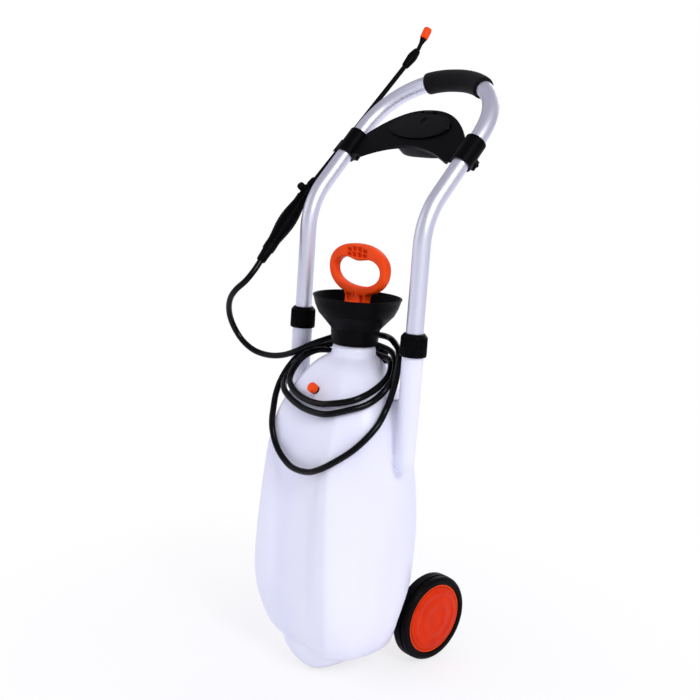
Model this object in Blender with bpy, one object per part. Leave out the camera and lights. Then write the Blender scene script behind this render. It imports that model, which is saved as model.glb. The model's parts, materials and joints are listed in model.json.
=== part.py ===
# Wheeled sprayer cart: translucent tank on a front foot and two rear wheels, bent tube handle with a
# storage tray, hand pump standing in a filling funnel, hose, trigger grip and lance.
# Metres, +Z up, front towards -Y.  x = 0 is the tank's plane of symmetry and the pump runs on the Z axis.

import math

import bmesh
import bpy
from mathutils import Matrix, Vector

for item in list(bpy.data.objects):
    bpy.data.objects.remove(item, do_unlink=True)

# ---------------------------------------------------------------- sizes
gap = 0.0003                # between pieces that touch
sliding = 0.0005            # round a piece that slides or turns

wall = 0.003                # blow-moulded tank wall
neckRadius = 0.0300
neckTop = 0.5355
collarRadius = 0.0330       # plain ring under the funnel
collarTop = 0.5035

legSpacing = 0.2422         # between the two legs of the handle
tubeRadius = 0.0125
tubeWall = 0.0015
legBottom = 0.4200          # foot of the tube in its socket
handleTravel = 0.0550       # how far the handle slides down into the posts
bendStart = 0.6672
bendRadius = 0.1055
lean = math.radians(41.1)   # how far the upper half leans back
slopeLength = 0.1036        # straight run between the bend and the arch
archHeight = 0.1195
archPower = 2.24

postRadius = tubeRadius + 0.0031
spigotRadius = postRadius - 0.0010   # thinner top of the post, inside the nut
postTop = 0.5125
nutBottom = 0.5130
nutTop = 0.5455
nutRadius = postRadius + 0.0034

wheelRadius = 0.0690
wheelY = 0.1280
tyreInner = 0.0668          # distance of the tyre's inner side from x = 0
tyreWidth = 0.0300
rimRadius = 0.0556          # where hub and tyre meet
axleRadius = 0.0050
wellRadius = 0.0880         # hollow in the tank round each wheel
wellSide = 0.0565           # half width of the tank between the wheels

funnelRim = 0.0667
funnelTop = 0.5800
funnelFloor = 0.5413
barrelRadius = 0.0210
barrelWall = 0.0025
barrelBore = barrelRadius - barrelWall
barrelBottom = 0.2400
rodRadius = 0.0050
guideBottom = 0.4750
stroke = 0.2000
gripFoot = 0.5660           # lower face of the pump handle's stem

laneX = -legSpacing / 2 - 0.0339     # plane of lance, trigger grip and nozzle
lanceRadius = 0.0040
lanceLow = Vector((laneX, 0.0252, 0.7269))
lanceHigh = Vector((laneX, 0.2184, 0.9312))
gripEnd = Vector((laneX, -0.0636, 0.6138))
nozzleLean = math.radians(30.0)

hoseRadius = 0.00475


# ---------------------------------------------------------------- helpers
def paint(name, colour, rough, metal=0.0):
    made = bpy.data.materials.new(name)
    made.use_nodes = True
    shader = made.node_tree.nodes["Principled BSDF"]
    shader.inputs["Base Color"].default_value = (*colour, 1.0)
    shader.inputs["Roughness"].default_value = rough
    shader.inputs["Metallic"].default_value = metal
    made.diffuse_color = (*colour, 1.0)
    return made


milky = (0.80, 0.80, 0.90)
black = (0.012, 0.012, 0.013)
orange = (0.78, 0.045, 0.012)
silver = (0.72, 0.72, 0.78)

milkyPlastic = paint("milky_plastic", milky, 0.35)
satinAluminium = paint("satin_aluminium", silver, 0.32, 1.0)
softGrip = paint("soft_grip", black, 0.6)
blackPlastic = paint("black_plastic", black, 0.45)
naturalNylon = paint("natural_nylon", (0.75, 0.74, 0.70), 0.5)
darkSteel = paint("dark_steel", (0.05, 0.05, 0.055), 0.4, 1.0)
glossBlack = paint("gloss_black", black, 0.3)
brightSteel = paint("steel", (0.5, 0.5, 0.52), 0.3, 1.0)
sealRubber = paint("rubber", black, 0.7)
greyPlastic = paint("grey_plastic", (0.20, 0.20, 0.21), 0.4)
zincSteel = paint("zinc_steel", (0.55, 0.56, 0.58), 0.3, 1.0)
whitePlastic = paint("white_plastic", (0.7, 0.7, 0.7), 0.4)
orangePlastic = paint("orange_plastic", orange, 0.4)
orangeGloss = paint("orange_gloss", orange, 0.25)
turnedBrass = paint("brass", (0.55, 0.38, 0.12), 0.3, 1.0)
tyreRubber = paint("tyre_rubber", black, 0.65)
tubeBlack = paint("black_tube", black, 0.35)
hoseBlack = paint("hose_black", black, 0.4)
cutterLook = paint("cutter", (1, 0, 0), 0.5)


def finish(name, bm, mat, matrix=None, angle=35):
    bmesh.ops.remove_doubles(bm, verts=bm.verts, dist=1e-6)
    bmesh.ops.recalc_face_normals(bm, faces=bm.faces)
    mesh = bpy.data.meshes.new(name)
    bm.to_mesh(mesh)
    bm.free()
    mesh.shade_smooth()
    mesh.set_sharp_from_angle(angle=math.radians(angle))
    obj = bpy.data.objects.new(name, mesh)
    bpy.context.scene.collection.objects.link(obj)
    obj.matrix_world = matrix or Matrix()
    mesh.materials.append(mat)
    return obj


def frameAt(origin, zAxis, xAxis=(1, 0, 0)):
    """Matrix whose local Z runs along zAxis, with local X as near to xAxis as it can be."""
    z = Vector(zAxis).normalized()
    y = z.cross(Vector(xAxis)).normalized()
    x = y.cross(z)
    turn = Matrix((x, y, z)).transposed().to_4x4()
    return Matrix.Translation(Vector(origin)) @ turn


def ring(bm, points):
    return [bm.verts.new(p) for p in points]


def bridge(bm, low, high):
    count = len(low)
    for i in range(count):
        j = (i + 1) % count
        bm.faces.new((low[i], low[j], high[j], high[i]))


def loft(bm, rings):
    """Closed skin over rings of points that all have the same count, capped at both ends."""
    made = [ring(bm, points) for points in rings]
    for low, high in zip(made, made[1:]):
        bridge(bm, low, high)
    bm.faces.new(list(reversed(made[0])))
    bm.faces.new(made[-1])
    return made


def turned(name, profile, mat, matrix=None, steps=24, angle=35, keep=None):
    """Body of revolution about local Z from a closed profile of (radius, height)."""
    bm = keep or bmesh.new()
    loops = []
    for radius, height in profile:
        if radius < 1e-7:
            loops.append([bm.verts.new((0, 0, height))])
            continue
        loops.append([bm.verts.new((radius * math.cos(2 * math.pi * k / steps),
                                    radius * math.sin(2 * math.pi * k / steps), height))
                      for k in range(steps)])
    onAxis = [len(loop) == 1 for loop in loops]
    for i, loop in enumerate(loops):
        other = loops[(i + 1) % len(loops)]
        if onAxis[i] and onAxis[(i + 1) % len(loops)]:
            continue
        for k in range(steps):
            n = (k + 1) % steps
            if len(loop) == 1:
                bm.faces.new((loop[0], other[n], other[k]))
            elif len(other) == 1:
                bm.faces.new((loop[k], loop[n], other[0]))
            else:
                bm.faces.new((loop[k], loop[n], other[n], other[k]))
    if keep:
        return None
    return finish(name, bm, mat, matrix, angle)


def extruded(name, outline, low, high, mat, matrix=None, holes=(), angle=35):
    """Prism along local Z from an outline of (x, y); holes are outlines cut right through."""
    bm = bmesh.new()
    loft(bm, [[(x, y, low) for x, y in outline], [(x, y, high) for x, y in outline]])
    obj = finish(name, bm, mat, matrix, angle)
    for number, hole in enumerate(holes):
        cut(obj, prism(f"{name}.hole{number}", hole, low - 0.01, high + 0.01, matrix))
    return obj


def hide(obj):
    obj.hide_render = True
    obj.display_type = "WIRE"
    return obj


def prism(name, outline, low, high, matrix=None):
    bm = bmesh.new()
    loft(bm, [[(x, y, low) for x, y in outline], [(x, y, high) for x, y in outline]])
    return hide(finish(name, bm, cutterLook, matrix))


def cutterTurned(name, profile, matrix=None, steps=24):
    return hide(turned(name, profile, cutterLook, matrix, steps))


def cut(obj, cutter, how="DIFFERENCE"):
    step = obj.modifiers.new(cutter.name, "BOOLEAN")
    step.operation = how
    step.solver = "EXACT"
    step.object = cutter
    return obj


def join(obj, other):
    return cut(obj, hide(other), "UNION")


def rod(radius, low, high):
    return [(0, low), (radius, low), (radius, high), (0, high)]


def sleeve(inner, outer, low, high):
    return [(inner, low), (outer, low), (outer, high), (inner, high)]


def oval(halfX, halfY, count=32, power=2.0, centre=(0, 0)):
    points = []
    for k in range(count):
        a = 2 * math.pi * k / count
        c, s = math.cos(a), math.sin(a)
        points.append((centre[0] + halfX * math.copysign(abs(c) ** (2 / power), c),
                       centre[1] + halfY * math.copysign(abs(s) ** (2 / power), s)))
    return points


def rounded(corners, shares, steps):
    """Closed outline with each corner drawn in as a curve over its share of the edges."""
    count = len(corners)
    points = []
    for i in range(count):
        here = Vector(corners[i])
        before = Vector(corners[i - 1])
        after = Vector(corners[(i + 1) % count])
        start = here.lerp(before, shares[i])
        end = here.lerp(after, shares[i])
        for k in range(steps[i]):
            t = k / (steps[i] - 1)
            points.append(start.lerp(here, t).lerp(here.lerp(end, t), t))
    return points


def splitRing(inner, outer, half, steps):
    """Outline of a ring that is open towards +Y, half being half the width of its slit."""
    points = []
    for radius, way in ((outer, 1), (inner, -1)):
        start = math.asin(half / radius)
        turn = [math.pi / 2 + start + 2 * (math.pi - start) * k / steps for k in range(steps + 1)]
        points += [(radius * math.cos(a), radius * math.sin(a)) for a in turn[::way]]
    return points


def box(corner, opposite):
    (x0, y0, z0), (x1, y1, z1) = corner, opposite
    bm = bmesh.new()
    loft(bm, [[(x0, y0, z), (x1, y0, z), (x1, y1, z), (x0, y1, z)] for z in (z0, z1)])
    return bm


# ---------------------------------------------------------------- tank
# height, front y, half width of the front panel, half width of the body, its front and rear y,
# half width of the rear wall, rear y, depth of the front channel
stations = [
    (0.0450, -0.0480, 0.0400, 0.0620, -0.0230, 0.0220, 0.0330, 0.0880, 0.0),
    (0.0490, -0.0580, 0.0480, 0.0740, -0.0270, 0.0290, 0.0380, 0.0980, 0.0),
    (0.0580, -0.0690, 0.0570, 0.0850, -0.0330, 0.0360, 0.0410, 0.1060, 0.0),
    (0.0740, -0.0815, 0.0695, 0.0953, -0.0400, 0.0420, 0.0420, 0.1130, 0.0),
    (0.0960, -0.0925, 0.0798, 0.1024, -0.0445, 0.0450, 0.0420, 0.1180, 0.0),
    (0.1300, -0.1000, 0.0865, 0.1070, -0.0485, 0.0470, 0.0420, 0.1220, 0.0030),
    (0.1650, -0.1028, 0.0878, 0.1086, -0.0500, 0.0480, 0.0420, 0.1245, 0.0060),
    (0.2100, -0.1040, 0.0850, 0.1095, -0.0500, 0.0490, 0.0420, 0.1260, 0.0060),
    (0.2600, -0.1035, 0.0805, 0.1090, -0.0500, 0.0450, 0.0410, 0.1225, 0.0060),
    (0.3100, -0.1020, 0.0755, 0.1085, -0.0490, 0.0360, 0.0390, 0.1150, 0.0055),
    (0.3450, -0.0995, 0.0725, 0.1078, -0.0480, 0.0280, 0.0370, 0.1080, 0.0030),
    (0.3750, -0.0950, 0.0695, 0.1055, -0.0460, 0.0220, 0.0350, 0.1020, 0.0),
    (0.4000, -0.0885, 0.0655, 0.1015, -0.0440, 0.0180, 0.0330, 0.0950, 0.0),
    (0.4200, -0.0805, 0.0605, 0.0945, -0.0400, 0.0150, 0.0310, 0.0870, 0.0),
    (0.4400, -0.0700, 0.0530, 0.0840, -0.0350, 0.0140, 0.0280, 0.0760, 0.0),
    (0.4580, -0.0590, 0.0430, 0.0700, -0.0280, 0.0140, 0.0240, 0.0640, 0.0),
    (0.4740, -0.0490, 0.0330, 0.0540, -0.0220, 0.0130, 0.0200, 0.0490, 0.0),
    (0.4980, -0.0330, 0.0140, 0.0330, -0.0140, 0.0140, 0.0140, 0.0330, 0.0),
]
channelHalf = 0.0450
channelSlope = 0.0035         # half width of each side of the channel
plainInside = (0.0740, 0.1300, 0.2600, 0.3750)      # heights that the cavity does without


def section(station, inset, steps):
    z, frontY, frontHalf, half, sideFront, sideRear, rearHalf, rearY, channel = station
    flute = min(channelHalf, 0.62 * frontHalf)
    ridge = 0.5 * inset
    right = [
        (flute - channelSlope, frontY + channel + inset),
        (flute + channelSlope, frontY + inset),
        (frontHalf - ridge, frontY + inset),
        (half - inset, sideFront),
        (half - inset, sideRear),
        (rearHalf - ridge, rearY - inset),
    ]
    left = [(-x, y) for x, y in reversed(right)]
    shares = [0.30, 0.30, 0.16, 0.42, 0.42, 0.38]
    fine = [2, 2, steps, steps, steps, steps]
    outline = rounded(right + left, shares + shares[::-1], fine + fine[::-1])
    return [(p.x, p.y, z) for p in outline]


def tankSkin(name, inset, steps):
    """Outer skin of the tank, or with an inset the plainer skin of its cavity."""
    used = stations
    if inset:
        floor = (stations[0][0] + inset,) + stations[0][1:]
        used = [floor] + [s for s in stations[2:-2] if s[0] not in plainInside]
    bm = bmesh.new()
    loft(bm, [section(s, inset, steps) for s in used])
    return finish(name, bm, milkyPlastic, angle=24)


def alongX(x, y, z):
    return frameAt((x, y, z), (1, 0, 0), (0, 0, 1))


tank = tankSkin("tank", 0, 3)

# front foot, drawn out of the tank's floor
footLevels = [(0.0, 0.0120, 0.0250), (0.0030, 0.0180, 0.0310), (0.0120, 0.0250, 0.0380),
              (0.0300, 0.0330, 0.0460),
              (0.0600, 0.0400, 0.0540)]
footY = -0.0190


def footSkin(name, inset):
    bm = bmesh.new()
    rings = []
    for z, halfX, halfY in footLevels:
        rings.append([(x, y, max(z, inset)) for x, y in
                      oval(halfX - inset, halfY - inset, 16, 2.6, (0, footY))])
        if inset and z < inset:
            rings.pop()
    loft(bm, rings)
    return finish(name, bm, milkyPlastic)


join(tank, footSkin("tank.foot", 0))

# neck with its plain collar
join(tank, turned("tank.neck", [(0, 0.480), (collarRadius, 0.480), (collarRadius, collarTop),
                                (neckRadius, collarTop), (neckRadius, neckTop), (0, neckTop)],
                  milkyPlastic, steps=24))

# posts that take the handle's legs, each ending in a rounded finger on the flank
postLow = 0.3400
saddleTop = 0.4420
saddleHalf = 0.0060
saddleReach = legSpacing / 2 - math.sqrt(spigotRadius ** 2 - saddleHalf ** 2)
for side, word in ((-1, "left"), (1, "right")):
    bottom = legBottom - handleTravel - gap
    shape = [(0, postLow), (postRadius - 0.0066, postLow + 0.0030), (postRadius - 0.0011, postLow + 0.0180),
             (postRadius - 0.0004, postLow + 0.0500), (postRadius, postTop), (spigotRadius, postTop),
             (spigotRadius, postTop + 0.0175), (tubeRadius + 0.0004, postTop + 0.0175),
             (tubeRadius + 0.0004, bottom),
             (0, bottom)]
    place = Matrix.Translation((side * legSpacing / 2, 0, 0))
    join(tank, turned(f"tank.post_{word}", shape, milkyPlastic, place, steps=12))
    # saddle between shoulder and post
    saddle = [(side * x, z) for x, z in ((0.0700, 0.3600), (saddleReach, 0.3600),
                                         (saddleReach, saddleTop + 0.0060),
                                         (0.0880, saddleTop),
                                         (0.0700, saddleTop + 0.0080))]
    across = frameAt((0, saddleHalf, 0), (0, -1, 0))
    join(tank, extruded(f"tank.saddle_{word}", saddle, 0, 2 * saddleHalf, milkyPlastic, across))

# bosses for the relief valve and the outlet, and the tunnel that carries the axle
reliefSeat = Vector((0, -0.0700, 0.4440))
reliefDir = Vector((0, -math.cos(math.radians(34)), math.sin(math.radians(34))))
reliefFrame = frameAt(reliefSeat, reliefDir)
join(tank, turned("tank.relief_boss", rod(0.0085, -0.0100, 0.0008), milkyPlastic, reliefFrame, 16))
outletY = 0.0620
outletTop = 0.4740
join(tank, turned("tank.outlet_boss", rod(0.0120, 0.4350, outletTop), milkyPlastic,
                  Matrix.Translation((0, outletY, 0)), 16))
tunnel = []
for k in range(7):
    a = math.radians(-100 + 33 * k)
    tunnel.append((wheelY + 0.0150 * math.cos(a), wheelRadius + 0.0150 * math.sin(a)))
tunnel += [(0.1000, 0.1150), (0.0900, 0.0560)]
bm = bmesh.new()
loft(bm, [[(x, y, z) for y, z in tunnel] for x in (-wellSide, wellSide)])
join(tank, finish("tank.tunnel", bm, milkyPlastic))

# wheel hollows
for side, word in ((-1, "left"), (1, "right")):
    low, high = sorted((side * wellSide, side * 0.2))
    cut(tank, cutterTurned(f"tank.well_{word}", rod(wellRadius, low, high),
                           alongX(0, wheelY, wheelRadius), 20))

# inside: the cavity follows the skin and keeps clear of the wheel hollows
cavity = tankSkin("tank.cavity", wall, 2)
hide(cavity)
join(cavity, footSkin("tank.cavity_foot", wall))
for side, word in ((-1, "left"), (1, "right")):
    low, high = sorted((side * (wellSide - wall), side * 0.2))
    cut(cavity, cutterTurned(f"tank.cavity_well_{word}", rod(wellRadius + wall, low, high),
                             alongX(0, wheelY, wheelRadius), 20))
    keep = Matrix.Translation((side * legSpacing / 2, 0, 0))
    cut(cavity, cutterTurned(f"tank.cavity_post_{word}", rod(postRadius + 0.001, postLow, 0.5), keep, 12))
join(cavity, turned("tank.cavity_neck", rod(0.0255, 0.4500, neckTop + 0.01), milkyPlastic, steps=16))
cut(tank, cavity)
cut(tank, cutterTurned("tank.axle_hole", rod(axleRadius + gap, -0.1, 0.1), alongX(0, wheelY, wheelRadius),
                       14))
cut(tank, cutterTurned("tank.relief_hole", rod(0.0056, -0.03, 0.01), reliefFrame, 12))
cut(tank, cutterTurned("tank.outlet_hole", rod(0.0064, 0.42, 0.50), Matrix.Translation((0, outletY, 0)),
                       12))

# ---------------------------------------------------------------- handle
slope = Vector((0, math.sin(lean), math.cos(lean)))
face = Vector((0, -math.cos(lean), math.sin(lean)))     # out of the tray's upper side
slopeStart = Vector((0, bendRadius * (1 - math.cos(lean)), bendStart + bendRadius * math.sin(lean)))


def handleSide(sign):
    points = [Vector((sign * legSpacing / 2, 0, z)) for z in (legBottom, bendStart)]
    for k in range(1, 5):
        a = lean * k / 4
        points.append(Vector((sign * legSpacing / 2, bendRadius * (1 - math.cos(a)),
                              bendStart + bendRadius * math.sin(a))))
    edge = points[-1]
    points.append(edge + slope * slopeLength)
    for k in range(1, 8):
        a = math.pi / 2 * k / 7
        x = legSpacing / 2 * math.cos(a) ** (2 / archPower) if k < 7 else 0.0
        rise = archHeight * math.sin(a) ** (2 / archPower)
        points.append(Vector((sign * x, edge.y, edge.z)) + slope * (slopeLength + rise))
    return points


def tube(name, points, radius, resolution, mat, matrix=None):
    curve = bpy.data.curves.new(name, "CURVE")
    curve.dimensions = "3D"
    curve.bevel_depth = radius
    curve.bevel_resolution = resolution
    curve.use_fill_caps = True
    spline = curve.splines.new("POLY")
    spline.points.add(len(points) - 1)
    for point, place in zip(spline.points, points):
        point.co = (*place, 1.0)
    obj = bpy.data.objects.new(name, curve)
    bpy.context.scene.collection.objects.link(obj)
    obj.matrix_world = matrix or Matrix()
    curve.materials.append(mat)
    return obj


def pipe(name, points, radius, sides, mat, bore=0.0):
    """Straight-ended pipe swept along points, hollow where bore is given."""
    bm = bmesh.new()
    count = len(points)
    along = [(points[min(i + 1, count - 1)] - points[max(i - 1, 0)]).normalized() for i in range(count)]
    side = Vector((1, 0, 0)) if abs(along[0].x) < 0.9 else Vector((0, 0, 1))
    skins = []
    for size in (radius, bore):
        if not size:
            continue
        turnedSide = side.copy()
        rings = []
        for place, way in zip(points, along):
            turnedSide = (turnedSide - way * turnedSide.dot(way)).normalized()
            other = way.cross(turnedSide)
            rings.append(ring(bm, [place + size * (math.cos(2 * math.pi * k / sides) * turnedSide
                                                   + math.sin(2 * math.pi * k / sides) * other)
                                   for k in range(sides)]))
        skins.append(rings)
    for rings in skins:
        for low, high in zip(rings, rings[1:]):
            bridge(bm, low, high)
    if bore:
        for end in (0, -1):
            bridge(bm, skins[0][end], skins[1][end])
    else:
        bm.faces.new(skins[0][0])
        bm.faces.new(skins[0][-1])
    return finish(name, bm, mat)


rightSide = handleSide(1)
leftSide = handleSide(-1)
handlePath = leftSide + rightSide[-2::-1]
pipe("handle_tube", handlePath, tubeRadius, 12, satinAluminium, tubeRadius - tubeWall)


def archPoint(x):
    rise = archHeight * (1 - (abs(x) / (legSpacing / 2)) ** archPower) ** (1 / archPower)
    return Vector((x, slopeStart.y, slopeStart.z)) + slope * (slopeLength + rise)


# soft grip sleeve on the crown of the arch
sleeveFrom = -0.0520
sleeveTo = 0.0700
sleevePath = [archPoint(sleeveFrom + (sleeveTo - sleeveFrom) * k / 6) for k in range(7)]
pipe("grip_sleeve", sleevePath, tubeRadius + 0.0043, 12, softGrip, tubeRadius + 0.0012)

# collar nuts that clamp the legs, each over a split wedge ring
wedgeRadius = tubeRadius + 0.0025
for side, word in ((-1, "left"), (1, "right")):
    place = Matrix.Translation((side * legSpacing / 2, 0, 0))
    nut = [(postRadius, nutBottom), (nutRadius, nutBottom), (nutRadius + 0.0004, nutBottom + 0.004),
           (nutRadius - 0.0004, nutTop - 0.0050), (nutRadius - 0.0040, nutTop),
           (tubeRadius + sliding, nutTop),
           (tubeRadius + sliding, nutTop - 0.0035), (postRadius, nutTop - 0.0060)]
    collar = turned(f"collar_nut_{word}", nut, blackPlastic, place, 16)
    wedge = turned(f"wedge_ring_{word}", [(tubeRadius + 0.0004, postTop + 0.0179),
                                          (wedgeRadius, postTop + 0.0179),
                                          (wedgeRadius, nutTop - 0.0072),
                                          (wedgeRadius - 0.0008, nutTop - 0.0064),
                                          (tubeRadius + 0.0004, nutTop - 0.0064)],
                   naturalNylon, place, 12)
    slot = box((-0.0010, -0.02, 0.52), (0.0010, 0.0, 0.56))
    cut(wedge, hide(finish(f"wedge_ring_{word}.slot", slot, cutterLook, place)))

# ---------------------------------------------------------------- tray
trayFrame = frameAt(slopeStart, face)       # local X across, local Y up the slope, local Z out of the tray
plateTop = 0.0035
plateThick = 0.0035
clampLow = 0.0570
clampHigh = 0.1070
clampRadius = tubeRadius + 0.0035
lidCentre = 0.1235
lidHalfX = 0.0600
lidHalfY = 0.0250
binCentre = 0.1200
binHalfX = 0.0540
binHalfY = 0.0265
binDepth = 0.0340


def plateOutline():
    points = []
    reach = legSpacing / 2 - 0.0040
    for k in range(13):
        x = -reach + 2 * reach * k / 12
        points.append((x, 0.0850 - 0.0300 * (abs(x) / 0.100) ** 2 if abs(x) < 0.095 else clampLow + 0.0010))
    for k in range(13):
        x = reach - 2 * reach * k / 12
        points.append((x, 0.1575 - 0.0570 * (abs(x) / 0.105) ** 2.3 if abs(x) < 0.105 else clampHigh
                       - 0.0060))
    return points


def slopeAxis(x):
    """Frame on one leg with local Z up the slope."""
    return frameAt(slopeStart + Vector((x, 0, 0)), slope, (1, 0, 0))


tray = extruded("tray", plateOutline(), plateTop - plateThick, plateTop, blackPlastic, trayFrame)
# stiffening rim along the tray's lower edge
rim = extruded("tray.rim", [(x, y) for x, y in plateOutline() if y < 0.09 and abs(x) < 0.095]
               + [(x, y + 0.0030) for x, y in reversed(plateOutline()[:13]) if y < 0.09 and abs(x) < 0.095],
               plateTop - 0.0075, plateTop - 0.0010, blackPlastic, trayFrame)
join(tray, rim)
cut(tray, prism("tray.hole", oval(lidHalfX - 0.0050, lidHalfY - 0.0040, 24, 2.2, (0, lidCentre)), -0.03,
                0.02, trayFrame))
# split clamps, each with two pinch ears on its underside and a screw across them
slitHalf = 0.0012
earLow = clampLow + 0.0120
earHigh = clampLow + 0.0280
for side, word in ((-1, "left"), (1, "right")):
    leg = slopeAxis(side * legSpacing / 2)
    cut(tray, cutterTurned(f"tray.seat_{word}",
                           rod(clampRadius - 0.0012, clampLow - 0.01, clampHigh + 0.01), leg, 16))
    clamp = splitRing(tubeRadius + 0.0006, clampRadius, slitHalf, 15)
    join(tray, extruded(f"tray.clamp_{word}", clamp, clampLow, clampHigh, blackPlastic, leg))
    for flank in (-1, 1):
        near, far = sorted((flank * slitHalf, flank * 0.0060))
        ear = box((near, clampRadius - 0.0018, earLow), (far, clampRadius + 0.0070, earHigh))
        join(tray, finish(f"tray.ear_{word}{flank}", ear, blackPlastic, leg))
    cross = frameAt(slopeStart + Vector((side * legSpacing / 2, 0, 0)) + slope * (clampLow + 0.020)
                    - face * (clampRadius + 0.0033),
                    (1, 0, 0), (0, 0, 1))
    cut(tray, cutterTurned(f"tray.screw_hole_{word}", rod(0.0020, -0.02, 0.02), cross, 10))
    screw = [(0, -0.0076), (0.0017, -0.0076), (0.0017, 0.0063), (0.0036, 0.0063), (0.0036, 0.0080),
             (0.0026, 0.0092),
             (0, 0.0092)]
    if side < 0:
        screw = [(r, -z) for r, z in reversed(screw)]
    turned(f"clamp_screw_{word}", screw, darkSteel, cross, 12)
# hinge ears for the lid, behind its rear edge
hingeY = lidCentre + lidHalfY + 0.0022
hingeZ = plateTop + 0.0022
for x in (-0.0135, 0.0095):
    knuckle = box((x, hingeY - 0.0018, plateTop - 0.002), (x + 0.0040, hingeY + 0.0018, hingeZ + 0.0018))
    join(tray, finish(f"tray.hinge_{'left' if x < 0 else 'right'}", knuckle, blackPlastic, trayFrame))
hingeFrame = frameAt(trayFrame @ Vector((0, hingeY, hingeZ)), (1, 0, 0), face)
cut(tray, cutterTurned("tray.hinge_bore", rod(0.0009, -0.03, 0.03), hingeFrame, 12))

lidFrame = Matrix.Translation(trayFrame @ Vector((0, hingeY, hingeZ))
                              - trayFrame.to_translation()) @ trayFrame
lidLow = plateTop + gap - hingeZ
lidHigh = lidLow + 0.0026
lid = extruded("tray_lid", oval(lidHalfX, lidHalfY, 28, 2.1, (0, lidCentre - hingeY)), lidLow, lidHigh,
               glossBlack, lidFrame)
barrel = turned("tray_lid.knuckle", rod(0.0017, -0.0090, 0.0090), glossBlack, hingeFrame, 12)
join(lid, barrel)
tab = box((-0.0090, -0.0060, lidLow), (0.0090, 0.0, lidHigh - 0.0004))
join(lid, finish("tray_lid.tab", tab, glossBlack, lidFrame))
cut(lid, cutterTurned("tray_lid.bore", rod(0.0010, -0.03, 0.03), hingeFrame, 12))
fingerAt = lidFrame @ Vector((0.0050, 0.1330 - hingeY, 0))
cut(lid, cutterTurned("tray_lid.finger", [(0, lidLow + 0.0009), (0.0050, lidLow + 0.0009),
                                          (0.0072, lidHigh), (0.0078, lidHigh + 0.002),
                                          (0, lidHigh + 0.002)], frameAt(fingerAt, face), 16))
turned("lid_pin", rod(0.0007, -0.0134, 0.0134), brightSteel, hingeFrame, 10)

# storage bin hanging under the tray
binTop = plateTop - plateThick - gap
bm = bmesh.new()
levels = [(binTop - binDepth, 0.80), (binTop - binDepth * 0.75, 0.93), (binTop - 0.0022, 1.0)]
outer = [[(x, y, z) for x, y in oval(binHalfX * s, binHalfY * s, 20, 2.4, (0, binCentre))] for z,
         s in levels]
outer.append([(x, y, binTop - 0.0022) for x, y in oval(binHalfX + 0.0040, binHalfY + 0.0030, 20, 2.4,
                                                       (0, binCentre))])
outer.append([(x, y, binTop) for x, y in oval(binHalfX + 0.0040, binHalfY + 0.0030, 20, 2.4,
                                              (0, binCentre))])
inner = [[(x, y, z) for x, y in oval(binHalfX * s - 0.0020, binHalfY * s - 0.0020, 20, 2.4, (0, binCentre))]
         for z, s in ((binTop, 1.0), (binTop - binDepth * 0.75, 0.93), (binTop - binDepth + 0.0022, 0.80))]
loft(bm, outer + inner)
finish("tray_bin", bm, blackPlastic, trayFrame)

# ---------------------------------------------------------------- pump and funnel
funnel = [
    (neckRadius + 0.0004, 0.5040), (0.0342, 0.5040), (0.0368, 0.5320),
    (0.0479, 0.5445), (0.0566, 0.5540), (0.0622, 0.5658), (0.0652, 0.5765), (funnelRim, 0.5787),
    (funnelRim - 0.0004, funnelTop), (0.0640, funnelTop), (0.0594, 0.5665), (0.0540, 0.5564),
          (0.0460, 0.5474),
    (0.0350, funnelFloor), (barrelRadius + 0.0006, funnelFloor),
          (barrelRadius + 0.0006, funnelFloor - 0.0030),
    (neckRadius + 0.0004, funnelFloor - 0.0030),
]
turned("funnel", funnel, blackPlastic, steps=24)
turned("neck_gasket", sleeve(0.0262, 0.0294, neckTop + gap, funnelFloor - 0.0030 - gap), sealRubber,
       steps=16)

flangeRadius = barrelRadius + 0.0040
flangeTop = funnelFloor + gap + 0.0026
turned("pump_barrel", [(0.0060, barrelBottom), (barrelRadius - 0.0020, barrelBottom),
                       (barrelRadius, barrelBottom + 0.0030),
                       (barrelRadius, funnelFloor + gap), (flangeRadius, funnelFloor + gap),
                       (flangeRadius, flangeTop),
                       (barrelBore, flangeTop), (barrelBore, barrelBottom + 0.0030),
                       (0.0060, barrelBottom + 0.0030)],
       greyPlastic, steps=12)
hubTop = gripFoot - 0.0005
turned("pump_guide", [(rodRadius + sliding, guideBottom), (0.0125, guideBottom),
                      (barrelBore - 0.0006, guideBottom + 0.0060),
                      (barrelBore - 0.0006, flangeTop + gap), (flangeRadius - 0.0005, flangeTop + gap),
                      (flangeRadius - 0.0005, flangeTop + 0.0030),
                      (0.0165, flangeTop + 0.0040), (0.0150, hubTop - 0.0080), (0.0150, hubTop - 0.0012),
                      (0.0138, hubTop), (rodRadius + sliding, hubTop)],
       blackPlastic, steps=12)
pistonLow = barrelBottom + 0.0085
pistonTop = guideBottom - stroke - 0.0005
rodLow = pistonLow + 0.0080
turned("pump_rod", rod(rodRadius, rodLow, gripFoot + 0.0210), zincSteel, steps=12)
turned("pump_piston", [(0, pistonLow), (barrelBore - 0.0035, pistonLow),
                       (barrelBore - 0.0020, pistonLow + 0.0015),
                       (barrelBore - 0.0020, pistonLow + 0.0050),
                       (0.0120, pistonLow + 0.0050), (0.0120, pistonLow + 0.0170),
                       (barrelBore - 0.0020, pistonLow + 0.0170),
                       (barrelBore - 0.0020, pistonTop - 0.0010), (barrelBore - 0.0035, pistonTop),
                       (rodRadius + gap, pistonTop),
                       (rodRadius + gap, rodLow - gap), (0, rodLow - gap)],
       whitePlastic, steps=12)
turned("piston_seal", [(0.0123, pistonLow + 0.0054), (barrelBore - 0.0015, pistonLow + 0.0054),
                       (barrelBore - 0.0003, pistonLow + 0.0090),
                       (barrelBore - 0.0003, pistonLow + 0.0160), (barrelBore - 0.0015, pistonLow + 0.0166),
                       (0.0123, pistonLow + 0.0166)],
       sealRubber, steps=12)
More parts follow.
